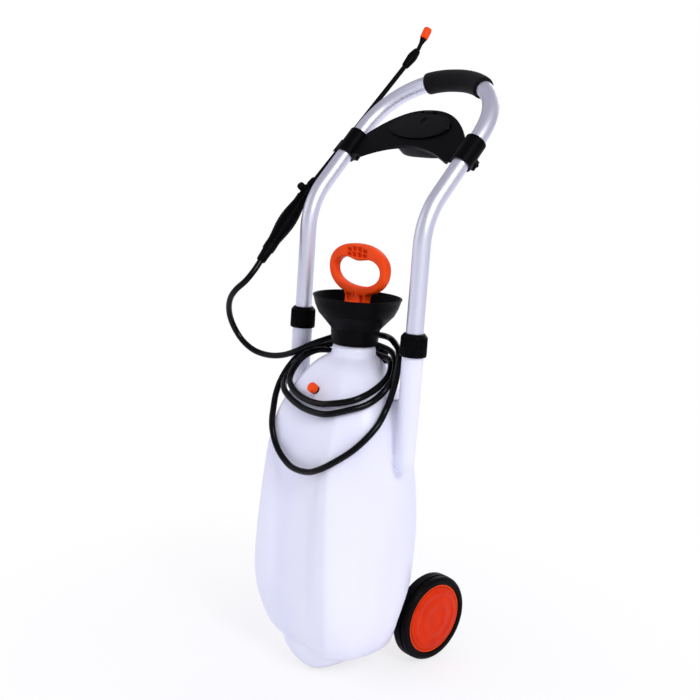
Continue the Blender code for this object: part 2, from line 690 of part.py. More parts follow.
turned("inlet_valve", [(0, barrelBottom + 0.0033), (0.0115, barrelBottom + 0.0033),
                       (0.0110, barrelBottom + 0.0045),
                       (0.0030, barrelBottom + 0.0058), (0, barrelBottom + 0.0058)], sealRubber, steps=12)

# pump handle: an oval ring with a finger swell inside its top bar, on a splayed stem
ringHalf = 0.0600
ringTop = 0.6575
ringLow = 0.5820
holeHalf = 0.0485
holeTop = 0.6400
holeLow = 0.5950
swell = 0.0075
ringDepth = 0.0150


def eggPoint(angle, half, top, low, power=2.15):
    c, s = math.cos(angle), math.sin(angle)
    middle = low + 0.53 * (top - low)
    height = (top - middle) if s > 0 else (middle - low)
    return (half * math.copysign(abs(c) ** (2 / power), c),
            middle + height * math.copysign(abs(s) ** (2 / power), s))


def holeOutline():
    points = []
    for k in range(28):
        x, z = eggPoint(2 * math.pi * k / 28, holeHalf, holeTop, holeLow)
        if z > 0.615:
            z -= swell * math.exp(-(x / 0.020) ** 2)
        points.append((x, z))
    return points


# local X across, local Y up, local Z towards the front
ringFrame = frameAt((0, 0, 0), (0, -1, 0), (1, 0, 0))
bm = bmesh.new()
ringOut = [eggPoint(2 * math.pi * k / 28, ringHalf, ringTop, ringLow) for k in range(28)]
ringIn = holeOutline()
half = ringDepth / 2
bead = 0.0028
skins = []
for z, share in ((-half, 1.0), (-half + bead, 0.0), (half - bead, 0.0), (half, 1.0)):
    skins.append(ring(bm, [(x * (1 - share * bead / ringHalf),
                            y - share * bead * (1 if y > 0.62 else -0.6), z)
                           for x, y in ringOut]))
for z, share in ((half, 1.0), (half - bead, 0.0), (-half + bead, 0.0), (-half, 1.0)):
    skins.append(ring(bm, [(x * (1 + share * bead * 0.6 / holeHalf),
                            y + share * bead * 0.6 * (1 if y > 0.615 else -1), z)
                           for x, y in ringIn]))
for low, high in zip(skins, skins[1:] + skins[:1]):
    bridge(bm, low, high)
pumpHandle = finish("pump_handle", bm, orangePlastic, ringFrame)
stemOutline = [(-0.0225, gripFoot), (0.0225, gripFoot), (0.0225, gripFoot + 0.0030),
               (0.0200, gripFoot + 0.0048),
               (0.0200, 0.5800), (0.0290, 0.5900), (-0.0290, 0.5900), (-0.0200, 0.5800),
               (-0.0200, gripFoot + 0.0048),
               (-0.0225, gripFoot + 0.0030)]
stem = extruded("pump_handle.stem", stemOutline, -0.0072, 0.0072, orangePlastic, ringFrame)
join(pumpHandle, stem)
join(pumpHandle, turned("pump_handle.hub", [(0, gripFoot), (0.0148, gripFoot), (0.0148, gripFoot + 0.0040),
                                            (0.0090, gripFoot + 0.0080), (0.0085, gripFoot + 0.0235),
                                            (0, gripFoot + 0.0235)],
                        orangePlastic, steps=12))
# hollow panels each side of the stem's middle rib, front and back
for side in (-1, 1):
    for front in (-1, 1):
        low, high = sorted((front * 0.0028, front * 0.02))
        left, right = sorted((side * 0.0105, side * 0.0180))
        panel = [(left, gripFoot + 0.0062), (right, gripFoot + 0.0062), (right, 0.5830), (left, 0.5830)]
        cut(pumpHandle, prism(f"pump_handle.panel_{side}_{front}", panel, low, high, ringFrame))
# two rows of slots in the top bar, front and back
for front in (-1, 1):
    low, high = sorted((front * 0.0030, front * 0.02))
    for k in range(4):
        x = -0.0210 + 0.0110 * k
        middle = x + 0.0045
        swellHere = swell * math.exp(-(middle / 0.020) ** 2)
        crown = 0.6575 - 0.0105 * (abs(middle) / 0.030) ** 2
        roof = crown - 0.0042
        floorZ = holeTop - 0.8 * swellHere + 0.0040 - 0.0070 * (abs(middle) / 0.030) ** 2
        split = (roof + floorZ) / 2
        for lowZ, highZ, row in ((floorZ, split - 0.0009, 0), (split + 0.0009, roof, 1)):
            if highZ - lowZ < 0.0016:
                continue
            slot = [(x, lowZ), (x + 0.0090, lowZ), (x + 0.0090, highZ), (x, highZ)]
            cut(pumpHandle, prism(f"pump_handle.slot_{front}_{k}_{row}", slot, low, high, ringFrame))
cut(pumpHandle, cutterTurned("pump_handle.rod_hole",
                             rod(rodRadius + gap, gripFoot - 0.01, gripFoot + 0.0213), steps=12))
crossFrame = frameAt((0, 0, gripFoot + 0.0140), (0, 1, 0), (1, 0, 0))
cut(pumpHandle, cutterTurned("pump_handle.pin_hole", rod(0.0018, -0.02, 0.02), crossFrame, 8))
cut(bpy.data.objects["pump_rod"], cutterTurned("pump_rod.pin_hole", rod(0.0018, -0.02, 0.02), crossFrame,
                                               8))
turned("handle_pin", rod(0.0015, -0.0082, 0.0082), zincSteel, crossFrame, 8)

# ---------------------------------------------------------------- relief valve
bossTop = 0.0008
turned("relief_body", [(0.0021, -0.0130), (0.0052, -0.0130), (0.0052, bossTop + gap),
                       (0.0068, bossTop + gap),
                       (0.0068, bossTop + 0.0016), (0.0046, bossTop + 0.0022), (0.0022, bossTop + 0.0022),
                       (0.0022, bossTop + 0.0004), (0.0041, bossTop + 0.0004), (0.0041, -0.0115),
                       (0.0021, -0.0115)],
       blackPlastic, reliefFrame, 12)
turned("relief_stem", [(0, -0.0095), (0.0036, -0.0095), (0.0036, -0.0080), (0.0017, -0.0080),
                       (0.0017, 0.0108), (0, 0.0108)],
       turnedBrass, reliefFrame, 12)
turned("relief_seal", rod(0.0036, -0.0112, -0.0098), sealRubber, reliefFrame, 12)
knobLow = bossTop + 0.0028
knob = turned("relief_knob", [(0.0020, knobLow), (0.0064, knobLow), (0.0074, knobLow + 0.0012),
                              (0.0074, knobLow + 0.0085),
                              (0.0062, knobLow + 0.0100), (0, knobLow + 0.0100), (0, 0.0111),
                              (0.0020, 0.0111)],
              orangePlastic, reliefFrame, 16)
for k in range(6):
    a = 2 * math.pi * k / 6
    flute = frameAt(reliefSeat + reliefFrame.to_3x3() @ Vector((0.0082 * math.cos(a),
                                                                0.0082 * math.sin(a), 0)), reliefDir)
    cut(knob, cutterTurned(f"relief_knob.flute_{k}", rod(0.0016, knobLow + 0.0014, knobLow + 0.02), flute,
                           6))
springLow = -0.0077
springHigh = bossTop + 0.0001
turns = 3
coil = []
for k in range(turns * 8 + 1):
    a = 2 * math.pi * k / 8
    rise = springLow + 0.0004 + (springHigh - springLow - 0.0008) * k / (turns * 8)
    coil.append((0.0028 * math.cos(a), 0.0028 * math.sin(a), rise))
tube("relief_spring", coil, 0.00032, 0, brightSteel, reliefFrame)

# ---------------------------------------------------------------- outlet
outletFrame = Matrix.Translation((0, outletY, 0))
turned("outlet_gasket", sleeve(0.0068, 0.0105, outletTop + gap, outletTop + 0.0017), sealRubber,
       outletFrame, 16)
elbowLow = outletTop + 0.0020
spoutZ = 0.4860
elbow = turned("outlet_elbow", [(0.0056, 0.4550), (0.0061, 0.4550), (0.0061, elbowLow),
                                (0.0105, elbowLow), (0.0105, elbowLow + 0.0028),
                                (0.0082, elbowLow + 0.0034), (0.0082, spoutZ + 0.0070),
                                (0.0060, spoutZ + 0.0090), (0, spoutZ + 0.0090),
                                (0, 0.4650), (0.0056, 0.4650)], blackPlastic, outletFrame, 12)
spoutFrame = frameAt((0, outletY, spoutZ), (-1, 0, 0), (0, 0, 1))
join(elbow, turned("outlet_elbow.spout", rod(0.0055, 0.0, 0.0150), blackPlastic, spoutFrame, 12))
turned("outlet_nut", [(0.0058, 0.0110), (0.0090, 0.0110), (0.0092, 0.0122), (0.0084, 0.0230),
                      (0.0070, 0.0245),
                      (0, 0.0245), (0, 0.0153), (0.0058, 0.0153)], blackPlastic, spoutFrame, 12)
hoseExit = Vector((-0.0245 - gap, outletY, spoutZ))
turned("dip_tube", sleeve(0.0036, 0.0052, 0.0620, 0.4647), milkyPlastic, outletFrame, 12)
turned("dip_filter", [(0, 0.0540), (0.0085, 0.0540), (0.0095, 0.0560), (0.0095, 0.0800), (0.0056, 0.0840),
                      (0.0056, 0.0617),
                                  (0, 0.0617)], orangePlastic, outletFrame, 14)

# ---------------------------------------------------------------- wheels
axleHalf = 0.0915
turned("axle", [(0, -axleHalf), (axleRadius - 0.0008, -axleHalf), (axleRadius, -axleHalf + 0.0008),
                (axleRadius, axleHalf - 0.0008), (axleRadius - 0.0008, axleHalf), (0, axleHalf)],
       zincSteel, alongX(0, wheelY, wheelRadius), 14)
for side, word in ((-1, "left"), (1, "right")):
    # local Z points outwards along the axle, measured from the middle of the cart
    place = frameAt((0, wheelY, wheelRadius), (side, 0, 0), (0, 0, 1))
    low = tyreInner
    high = tyreInner + tyreWidth
    tread = wheelRadius
    turned(f"tyre_{word}", [(rimRadius + gap, low + 0.0040), (tread - 0.0050, low),
                            (tread, low + 0.0060), (tread, high - 0.0125),
                            (tread - 0.0020, high - 0.0118), (tread - 0.0020, high - 0.0100),
                            (tread - 0.0004, high - 0.0092),
                            (tread - 0.0016, high - 0.0040), (tread - 0.0055, high - 0.0008),
                            (rimRadius + 0.0040, high - 0.0004),
                            (rimRadius + gap, high - 0.0030)],
           tyreRubber, place, 24)
    hubLow = low + 0.0042
    hubHigh = high - 0.0032
    hub = turned(f"hub_{word}", [(axleRadius + 0.00016, 0.0628), (0.0120, 0.0628),
                                 (0.0120, hubHigh - 0.0065),
                                 (rimRadius - 0.0040, hubHigh - 0.0055), (rimRadius - 0.0040, hubLow),
                                 (rimRadius, hubLow),
                                 (rimRadius, hubHigh), (rimRadius - 0.0025, hubHigh),
                                 (rimRadius - 0.0025, hubHigh - 0.0030),
                                 (0.0110, hubHigh - 0.0050), (axleRadius + 0.00016, hubHigh - 0.0050)],
                 orangePlastic, place, 24)
    for k in range(6):
        rib = box((0.0100, -0.0011, hubLow + 0.0030), (rimRadius - 0.0030, 0.0011, hubHigh - 0.0060))
        spin = Matrix.Rotation(2 * math.pi * (k + 0.5) / 6, 4, "Z")
        join(hub, finish(f"hub_{word}.rib_{k}", rib, orangePlastic, place @ spin))
    turned(f"spacer_{word}", sleeve(axleRadius + 0.00025, 0.0095, wellSide + gap, 0.0628 - sliding),
           whitePlastic, place, 14)
    capLow = hubHigh - 0.0020
    cap = [(0.0520, capLow - 0.0007), (rimRadius - 0.0029, capLow + 0.0001),
           (rimRadius - 0.0029, hubHigh + 0.0006), (0.0500, hubHigh + 0.0014),
           (0.0150, hubHigh + 0.0026), (0, hubHigh + 0.0028), (0, capLow + 0.0010),
           (0.0490, capLow + 0.0004)]
    turned(f"wheel_cap_{word}", cap, orangeGloss, place, 24)
    turned(f"push_nut_{word}", [(axleRadius + gap, hubHigh - 0.0047), (0.0088, hubHigh - 0.0047),
                                (0.0088, hubHigh - 0.0038),
                                (axleRadius + 0.0012, hubHigh - 0.0026),
                                (axleRadius + gap, hubHigh - 0.0026)],
           zincSteel, place, 12)

# ---------------------------------------------------------------- trigger grip, lance and nozzle
gripAxis = (lanceLow - gripEnd)
gripLength = gripAxis.length
# local Z from the hose end to the lance, local Y to the rear underside
gripFrame = frameAt(gripEnd, gripAxis)
nutLength = 0.0360
turned("hose_nut", [(hoseRadius + 0.0006, 0.0), (0.0066, 0.0), (0.0072, 0.0015), (0.0082, 0.0200),
                    (0.0096, 0.0215), (0.0098, nutLength - 0.001),
                    (0.0090, nutLength), (0.0056, nutLength), (0.0056, 0.0150),
                    (hoseRadius + 0.0006, 0.0140)],
       blackPlastic, gripFrame, 12)
ribs = 13
spindle = [(0, nutLength - 0.0180), (0.0048, nutLength - 0.0180), (0.0048, nutLength + gap),
           (0.0098, nutLength + gap)]
ribStart = nutLength + 0.0040
ribEnd = 0.1270
for k in range(ribs):
    z = ribStart + (ribEnd - ribStart) * k / ribs
    pitch = (ribEnd - ribStart) / ribs
    share = (k + 0.5) / ribs
    radius = 0.0100 + 0.0040 * math.sin(math.pi * min(1.0, share * 1.15)) ** 1.3
    spindle += [(radius - 0.0010, z), (radius, z + 0.35 * pitch)]
spindle += [(0.0085, ribEnd), (0.0085, 0.1440), (0.0070, 0.1460), (0, 0.1460)]
gripBody = turned("grip_body", spindle, blackPlastic, gripFrame, 12)
pivotZ = 0.1370
pivotY = 0.0125
for x in (-0.0056, 0.0032):
    cheek = box((x, 0.0, pivotZ - 0.0050), (x + 0.0024, 0.0160, pivotZ + 0.0050))
    join(gripBody, finish(f"grip_body.cheek_{'a' if x < 0 else 'b'}", cheek, blackPlastic, gripFrame))
pivotFrame = frameAt(gripFrame @ Vector((0, pivotY, pivotZ)), (1, 0, 0), gripAxis)
cut(gripBody, cutterTurned("grip_body.pin_hole", rod(0.0017, -0.02, 0.02), pivotFrame, 8))
turned("trigger_pin", rod(0.0014, -0.0060, 0.0060), brightSteel, pivotFrame, 8)
# lever in its own frame: x along world X, origin on the pivot
leverFrame = gripFrame @ Matrix.Translation((0, pivotY, pivotZ))
leverPath = [(0.0, 0.0034), (-0.0090, 0.0010), (-0.0180, -0.0070), (-0.0220, -0.0200), (-0.0228, -0.0420),
             (-0.0250, -0.0480),
             (-0.0232, -0.0492), (-0.0200, -0.0440), (-0.0186, -0.0210), (-0.0140, -0.0110),
             (-0.0070, -0.0048), (0.0008, -0.0036),
             (0.0030, 0.0)]
lever = extruded("trigger_lever", [(-y, z) for y, z in leverPath], -0.0028, 0.0028, blackPlastic,
                 leverFrame @ Matrix(((0, 0, 1, 0), (1, 0, 0, 0), (0, 1, 0, 0), (0, 0, 0, 1))))
cut(lever, cutterTurned("trigger_lever.hole", rod(0.0017, -0.02, 0.02), pivotFrame, 8))
# screw cap of the valve, on the upper side of the head
capFrame = frameAt(gripFrame @ Vector((0, -0.0070, 0.1360)), gripFrame.to_3x3() @ Vector((0, -1, 0)))
turned("valve_cap", [(0, 0.0018), (0.0042, 0.0018), (0.0042, 0.0030), (0.0058, 0.0030), (0.0060, 0.0040),
                     (0.0060, 0.0095), (0.0048, 0.0110), (0, 0.0110)],
       blackPlastic, capFrame, 12)

lanceAxis = (lanceHigh - lanceLow).normalized()
lanceFrame = frameAt(lanceLow, lanceAxis)
lanceLength = (lanceHigh - lanceLow).length
turned("lance_nut", [(lanceRadius + gap, 0.0045), (0.0072, 0.0045), (0.0074, 0.0060), (0.0066, 0.0160),
                     (0.0052, 0.0190),
                     (lanceRadius + gap, 0.0190)], blackPlastic, lanceFrame, 12)
turned("lance_tube", sleeve(lanceRadius - 0.0008, lanceRadius, 0.0035, lanceLength + 0.0060), tubeBlack,
       lanceFrame, 12)
turned("knuckle", [(lanceRadius + gap, lanceLength), (0.0058, lanceLength),
                   (0.0064, lanceLength + 0.0040), (0.0082, lanceLength + 0.0210),
                             (0.0080, lanceLength + 0.0250), (0.0060, lanceLength + 0.0370),
                   (0.0040, lanceLength + 0.0400), (0, lanceLength + 0.0400),
                             (0, lanceLength + 0.0063), (lanceRadius + gap, lanceLength + 0.0063)],
                 blackPlastic, lanceFrame, 12)
elbowAt = lanceLow + lanceAxis * (lanceLength + 0.0400 + gap)
nozzleDir = Vector((0, math.sin(nozzleLean), math.cos(nozzleLean)))
nozzleFrame = frameAt(elbowAt, nozzleDir)
turned("nozzle_stem", [(0, 0.0008), (0.0034, 0.0008), (0.0034, 0.0120), (0.0052, 0.0200),
                       (0.0052, 0.0215), (0.0038, 0.0215), (0.0038, 0.0360),
                       (0, 0.0360)], blackPlastic, nozzleFrame, 12)
nozzleCap = turned("nozzle_cap", [(0.0043, 0.0220), (0.0062, 0.0220), (0.0068, 0.0235), (0.0070, 0.0400),
                                  (0.0060, 0.0418), (0.0012, 0.0418),
                                  (0.0012, 0.0392), (0.0043, 0.0385)], orangePlastic, nozzleFrame, 16)
for k in range(6):
    a = 2 * math.pi * k / 6
    flute = nozzleFrame @ Matrix.Translation((0.0078 * math.cos(a), 0.0078 * math.sin(a), 0))
    cut(nozzleCap, cutterTurned(f"nozzle_cap.flute_{k}", rod(0.0015, 0.0245, 0.05), flute, 6))

# clip that holds the lance beside the left clamp
clipSlope = 0.0820
clipMid = slopeStart + slope * clipSlope
lanceAt = lanceLow + lanceAxis * ((clipMid - lanceLow).dot(lanceAxis))
clipFrame = frameAt((laneX, lanceAt.y, lanceAt.z), lanceAxis, lanceAxis.cross(Vector((1, 0, 0))))
clip = extruded("lance_clip", splitRing(lanceRadius + gap, 0.0068, 0.0030, 12), -0.0120, 0.0120,
                blackPlastic, clipFrame)
armOut = -legSpacing / 2 - clampRadius - gap - laneX
arm = box((-0.0040, -armOut, -0.0100), (0.0040, -0.0056, 0.0100))
join(clip, finish("lance_clip.arm", arm, blackPlastic, clipFrame))

# ---------------------------------------------------------------- hose
# from the outlet three times round the neck, each turn hanging lower than the last, then over the
# left post and up to the grip
firstTurn = [
    (-0.0360, 0.0620, 0.4860), (-0.0520, 0.0575, 0.4835), (-0.0660, 0.0440, 0.4800),
             (-0.0705, 0.0240, 0.4810),
    (-0.0705, 0.0060, 0.4850), (-0.0735, -0.0110, 0.4845), (-0.0775, -0.0300, 0.4765),
             (-0.0765, -0.0480, 0.4625),
    (-0.0668, -0.0650, 0.4480), (-0.0430, -0.0785, 0.4390), (-0.0170, -0.0825, 0.4320),
             (0.0200, -0.0840, 0.4310),
    (0.0496, -0.0805, 0.4370), (0.0700, -0.0610, 0.4440), (0.0765, -0.0350, 0.4535),
             (0.0770, -0.0100, 0.4665),
    (0.0735, 0.0040, 0.4765), (0.0610, 0.0190, 0.4860), (0.0400, 0.0350, 0.4890), (0.0120, 0.0450, 0.4880),
]
secondTurn = [
    (-0.0150, 0.0450, 0.4895), (-0.0400, 0.0400, 0.4915), (-0.0640, 0.0300, 0.4930),
              (-0.0790, 0.0170, 0.4905),
    (-0.0860, -0.0030, 0.4840), (-0.0905, -0.0220, 0.4735), (-0.0915, -0.0400, 0.4560),
              (-0.0850, -0.0590, 0.4420),
    (-0.0600, -0.0795, 0.4320), (-0.0185, -0.0875, 0.4205), (0.0240, -0.0910, 0.4190),
              (0.0480, -0.0888, 0.4220),
    (0.0680, -0.0755, 0.4295), (0.0840, -0.0460, 0.4395), (0.0872, -0.0180, 0.4555),
              (0.0880, -0.0030, 0.4740),
    (0.0770, 0.0120, 0.4920),
    (0.0500, 0.0310, 0.5010), (0.0100, 0.0440, 0.5030),
]
thirdTurn = [
    (-0.0200, 0.0445, 0.5030), (-0.0480, 0.0405, 0.5035), (-0.0710, 0.0340, 0.5025),
             (-0.0890, 0.0215, 0.4965),
    (-0.0980, 0.0020, 0.4885), (-0.1005, -0.0160, 0.4765), (-0.1035, -0.0340, 0.4600),
             (-0.0990, -0.0540, 0.4410),
    (-0.0900, -0.0705, 0.4235), (-0.0735, -0.0880, 0.4064), (-0.0595, -0.1005, 0.3800),
             (-0.0400, -0.1040, 0.3515),
    (-0.0066, -0.1055, 0.3332), (0.0365, -0.1085, 0.3363), (0.0600, -0.1080, 0.3465),
             (0.0790, -0.0970, 0.3610),
    (0.0935, -0.0730, 0.3806),
    (0.1010, -0.0420, 0.4093), (0.0975, -0.0210, 0.4330), (0.0990, -0.0120, 0.4580),
             (0.0990, -0.0060, 0.4830),
    (0.0885, 0.0060, 0.5100), (0.0604, 0.0220, 0.5200), (0.0300, 0.0380, 0.5210), (0.0020, 0.0440, 0.5190),
]
leadOut = [
    (-0.0260, 0.0410, 0.5180), (-0.0480, 0.0280, 0.5150), (-0.0600, 0.0060, 0.5060),
           (-0.0745, -0.0190, 0.4950),
    (-0.0910, -0.0330, 0.4830), (-0.1165, -0.0400, 0.4715), (-0.1452, -0.0460, 0.4663),
           (-0.1742, -0.0530, 0.4695),
    (-0.1968, -0.0600, 0.4826), (-0.2084, -0.0700, 0.5049), (-0.2042, -0.0820, 0.5274),
           (-0.1885, -0.0930, 0.5510),
    (-0.1700, -0.0960, 0.5690), (-0.1585, -0.0880, 0.5830), (-0.1550, -0.0754, 0.5988),
]
hoseStep = 0.0215           # between points of the finished tube


def smoothRoute(points, step):
    """Centripetal curve through the points, divided evenly in steps of about the given length."""
    ahead = points[0] * 2 - points[1]
    beyond = points[-1] * 2 - points[-2]
    chain = [ahead] + points + [beyond]
    fine = []
    for p0, p1, p2, p3 in zip(chain, chain[1:], chain[2:], chain[3:]):
        t1 = (p1 - p0).length ** 0.5
        t2 = t1 + (p2 - p1).length ** 0.5
        t3 = t2 + (p3 - p2).length ** 0.5
        for k in range(12):
            t = t1 + (t2 - t1) * k / 12
            a = p0.lerp(p1, t / t1)
            b = p1.lerp(p2, (t - t1) / (t2 - t1))
            c = p2.lerp(p3, (t - t2) / (t3 - t2))
            fine.append(a.lerp(b, t / t2).lerp(b.lerp(c, (t - t1) / (t3 - t1)), (t - t1) / (t2 - t1)))
    fine.append(points[-1])
    total = sum((b - a).length for a, b in zip(fine, fine[1:]))
    count = round(total / step)
    even = [fine[0]]
    walked = 0.0
    for a, b in zip(fine, fine[1:]):
        stretch = (b - a).length
        while len(even) < count and walked + stretch >= total * len(even) / count:
            even.append(a.lerp(b, (total * len(even) / count - walked) / stretch))
        walked += stretch
    even.append(fine[-1])
    return even, total


def leastGap(points, radius, apart):
    """Smallest clearance between stretches of tube that lie further apart than that along it."""
    least = 1.0
    for i, here in enumerate(points):
        for other in points[i + apart:]:
            least = min(least, (here - other).length - 2 * radius)
    return least


def squareEnds(points, first, last):
    """Short straight run at each end, so that the tube meets its neighbour squarely."""
    run = 2 * hoseRadius
    inner = [p for p in points if (p - points[0]).length > 1.6 * run and (p
                                                                          - points[-1]).length > 1.6 * run]
    return [points[0], points[0] + first * run] + inner + [points[-1] - last * run, points[-1]]


hoseEnd = gripFrame @ Vector((0, 0, nutLength - 0.0180 - gap))
coilWay = [hoseExit] + [Vector(p) for p in firstTurn + secondTurn + thirdTurn]
leadWay = [Vector(p) for p in leadOut] + [gripEnd, hoseEnd]
whole, hoseLength = smoothRoute(coilWay + leadWay, 0.004)
print(f"hose {hoseLength:.3f} m, least gap to itself {1000 * leastGap(whole, hoseRadius, 12):.2f} mm")
share = (leadWay[0] - coilWay[-2]).normalized()         # run of the hose where coil and lead meet
coilPoints = smoothRoute(coilWay, hoseStep)[0]
leadPoints = smoothRoute([coilWay[-1]] + leadWay, hoseStep)[0]
leadPoints[0] = leadPoints[0] + share * gap
tube("hose_coil", squareEnds(coilPoints, Vector((-1, 0, 0)), share), hoseRadius, 1, hoseBlack)
tube("hose_lead", squareEnds(leadPoints, share, gripAxis.normalized()), hoseRadius, 1, hoseBlack)
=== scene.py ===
import json
import math

import bmesh
import bpy
from mathutils import Matrix, Vector


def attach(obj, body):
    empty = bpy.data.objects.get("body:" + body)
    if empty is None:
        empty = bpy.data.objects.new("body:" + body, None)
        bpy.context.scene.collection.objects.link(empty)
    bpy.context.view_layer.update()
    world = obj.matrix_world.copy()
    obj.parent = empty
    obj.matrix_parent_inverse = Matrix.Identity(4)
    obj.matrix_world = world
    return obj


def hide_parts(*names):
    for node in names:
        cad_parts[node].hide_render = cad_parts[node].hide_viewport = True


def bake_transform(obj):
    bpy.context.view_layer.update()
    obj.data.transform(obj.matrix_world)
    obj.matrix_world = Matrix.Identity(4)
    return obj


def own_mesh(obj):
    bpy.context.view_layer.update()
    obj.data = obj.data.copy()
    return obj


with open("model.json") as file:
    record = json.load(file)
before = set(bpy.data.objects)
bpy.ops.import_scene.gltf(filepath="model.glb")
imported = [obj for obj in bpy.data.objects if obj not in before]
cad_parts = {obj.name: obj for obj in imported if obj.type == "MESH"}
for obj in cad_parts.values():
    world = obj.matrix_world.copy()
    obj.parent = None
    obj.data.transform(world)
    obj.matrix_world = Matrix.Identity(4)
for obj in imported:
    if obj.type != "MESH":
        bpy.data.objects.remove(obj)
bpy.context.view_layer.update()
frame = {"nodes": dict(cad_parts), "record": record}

mergeGap = 1e-6  # metres between corners that count as one
fluteReach = 0.04  # length of a flute's cutter, which runs out past the knob
bothSides = ((-1, "left"), (1, "right"))


# small helpers

def linear(hexColour):  # sRGB hex to the linear values that shaders take
    values = []
    for i in (0, 2, 4):
        c = int(hexColour[i:i + 2], 16) / 255
        values.append(c / 12.92 if c <= 0.04045 else ((c + 0.055) / 1.055) ** 2.4)
    return (*values, 1.0)


def addNode(tree, kind, settings=None, values=None, links=None):
    node = tree.nodes.new(kind)
    for key, value in (settings or {}).items():
        setattr(node, key, value)
    for key, value in (values or {}).items():
        node.inputs[key].default_value = value
    for key, source in (links or {}).items():
        tree.links.new(source, node.inputs[key])
    return node


def frameAt(origin, zAxis, xAxis=(1, 0, 0)):  # local Z along zAxis, local X near xAxis
    z = Vector(zAxis).normalized()
    y = z.cross(Vector(xAxis)).normalized()
    x = y.cross(z)
    return Matrix.Translation(Vector(origin)) @ Matrix((x, y, z)).transposed().to_4x4()


def turns(count):  # angles of a full circle in even steps
    return [2 * math.pi * k / count for k in range(count)]


def metres(rows):  # from a table in millimetres
    return [tuple(value / 1000 for value in row) for row in rows]


def atHeight(points, z):
    return [(x, y, z) for x, y in points]


def finishMesh(name, bm, material, place=None, angle=32):
    bmesh.ops.remove_doubles(bm, verts=bm.verts, dist=mergeGap)
    bmesh.ops.recalc_face_normals(bm, faces=bm.faces)
    if place is not None:
        bm.transform(place)
    mesh = bpy.data.meshes.new(name)
    bm.to_mesh(mesh)
    bm.free()
    mesh.shade_smooth()
    mesh.set_sharp_from_angle(angle=math.radians(angle))
    mesh.materials.append(material)
    piece = bpy.data.objects.new(name, mesh)
    bpy.context.scene.collection.objects.link(piece)
    return piece


def bridge(bm, low, high):
    for i in range(len(low)):
        j = (i + 1) % len(low)
        bm.faces.new((low[i], low[j], high[j], high[i]))


def loft(name, rings, material, place=None, angle=32, closed=False):  # skin over rings, capped or run round
    bm = bmesh.new()
    made = [[bm.verts.new(p) for p in ring] for ring in rings]
    for low, high in zip(made, made[1:]):
        bridge(bm, low, high)
    if closed:
        bridge(bm, made[-1], made[0])
    else:
        bm.faces.new(made[0][::-1])
        bm.faces.new(made[-1])
    return finishMesh(name, bm, material, place, angle)


def lathe(name, profile, material, place=None, steps=64, angle=32):  # closed profile of (radius, height)
    bm = bmesh.new()
    loops = []
    for radius, height in profile:
        if radius < mergeGap:
            loops.append([bm.verts.new((0, 0, height))])
        else:
            ring = [(radius * math.cos(a), radius * math.sin(a), height) for a in turns(steps)]
            loops.append([bm.verts.new(p) for p in ring])
    for loop, other in zip(loops, loops[1:] + loops[:1]):
        for k in range(steps):
            n = (k + 1) % steps
            if len(loop) == 1 and len(other) > 1:
                bm.faces.new((loop[0], other[n], other[k]))
            elif len(loop) > 1 and len(other) == 1:
                bm.faces.new((loop[k], loop[n], other[0]))
            elif len(loop) > 1:
                bm.faces.new((loop[k], loop[n], other[n], other[k]))
    return finishMesh(name, bm, material, place, angle)


def rod(name, radius, low, high, material, place=None, steps=64):
    return lathe(name, [(0, low), (radius, low), (radius, high), (0, high)], material, place, steps)


def drill(spot, axis, xAxis, radius, material):  # cutter for a pin's bore
    return rod("pinBore", radius, -0.02, 0.02, material, frameAt(spot, axis, xAxis), 24)


def softProfile(points, radius, steps=3):  # rounds the corners of an open profile
    out = [points[0]]
    for before, here, after in zip(points, points[1:], points[2:]):
        a, b, c = Vector(before), Vector(here), Vector(after)
        start = b + (a - b).normalized() * min(radius, (a - b).length * 0.45)
        end = b + (c - b).normalized() * min(radius, (c - b).length * 0.45)
        for k in range(steps + 1):
            t = k / steps
            out.append(tuple(start.lerp(b, t).lerp(b.lerp(end, t), t)))
    out.append(points[-1])
    return out


def prism(name, outline, low, high, material, place=None):
    return loft(name, [atHeight(outline, low), atHeight(outline, high)], material, place)


def block(name, corner, opposite, material, place=None):
    (x0, y0, z0), (x1, y1, z1) = corner, opposite
    return prism(name, [(x0, y0), (x1, y0), (x1, y1), (x0, y1)], z0, z1, material, place)


def sweep(name, points, radii, sides, material, bore=0.0, angle=50):  # along points, one radius or a list
    bm = bmesh.new()
    count = len(points)
    along = [(points[min(i + 1, count - 1)] - points[max(i - 1, 0)]).normalized() for i in range(count)]
    side = Vector((1, 0, 0)) if abs(along[0].x) < 0.9 else Vector((0, 0, 1))
    layers = [radii if isinstance(radii, list) else [radii] * count]
    if bore:
        layers.append([bore] * count)
    skins = []
    for sizes in layers:
        turned, rings = side.copy(), []
        for place, way, size in zip(points, along, sizes):
            turned = (turned - way * turned.dot(way)).normalized()
            other = way.cross(turned)
            rings.append([bm.verts.new(place + size * (math.cos(a) * turned + math.sin(a) * other))
                          for a in turns(sides)])
        for low, high in zip(rings, rings[1:]):
            bridge(bm, low, high)
        skins.append(rings)
    for end in (0, -1):
        if bore:
            bridge(bm, skins[0][end], skins[1][end])
        else:
            bm.faces.new(skins[0][end])
    return finishMesh(name, bm, material, angle=angle)


def oval(halfX, halfY, count=64, power=2.0, centre=(0, 0)):  # rounder or squarer by its power
    points = []
    for a in turns(count):
        c, s = math.cos(a), math.sin(a)
        points.append((centre[0] + halfX * math.copysign(abs(c) ** (2 / power), c),
                       centre[1] + halfY * math.copysign(abs(s) ** (2 / power), s)))
    return points


def applied(piece):  # the evaluated piece as a plain mesh, with no modifier left
    graph = bpy.context.evaluated_depsgraph_get()
    mesh = bpy.data.meshes.new_from_object(piece.evaluated_get(graph))
    piece.modifiers.clear()
    piece.data = mesh
    return piece


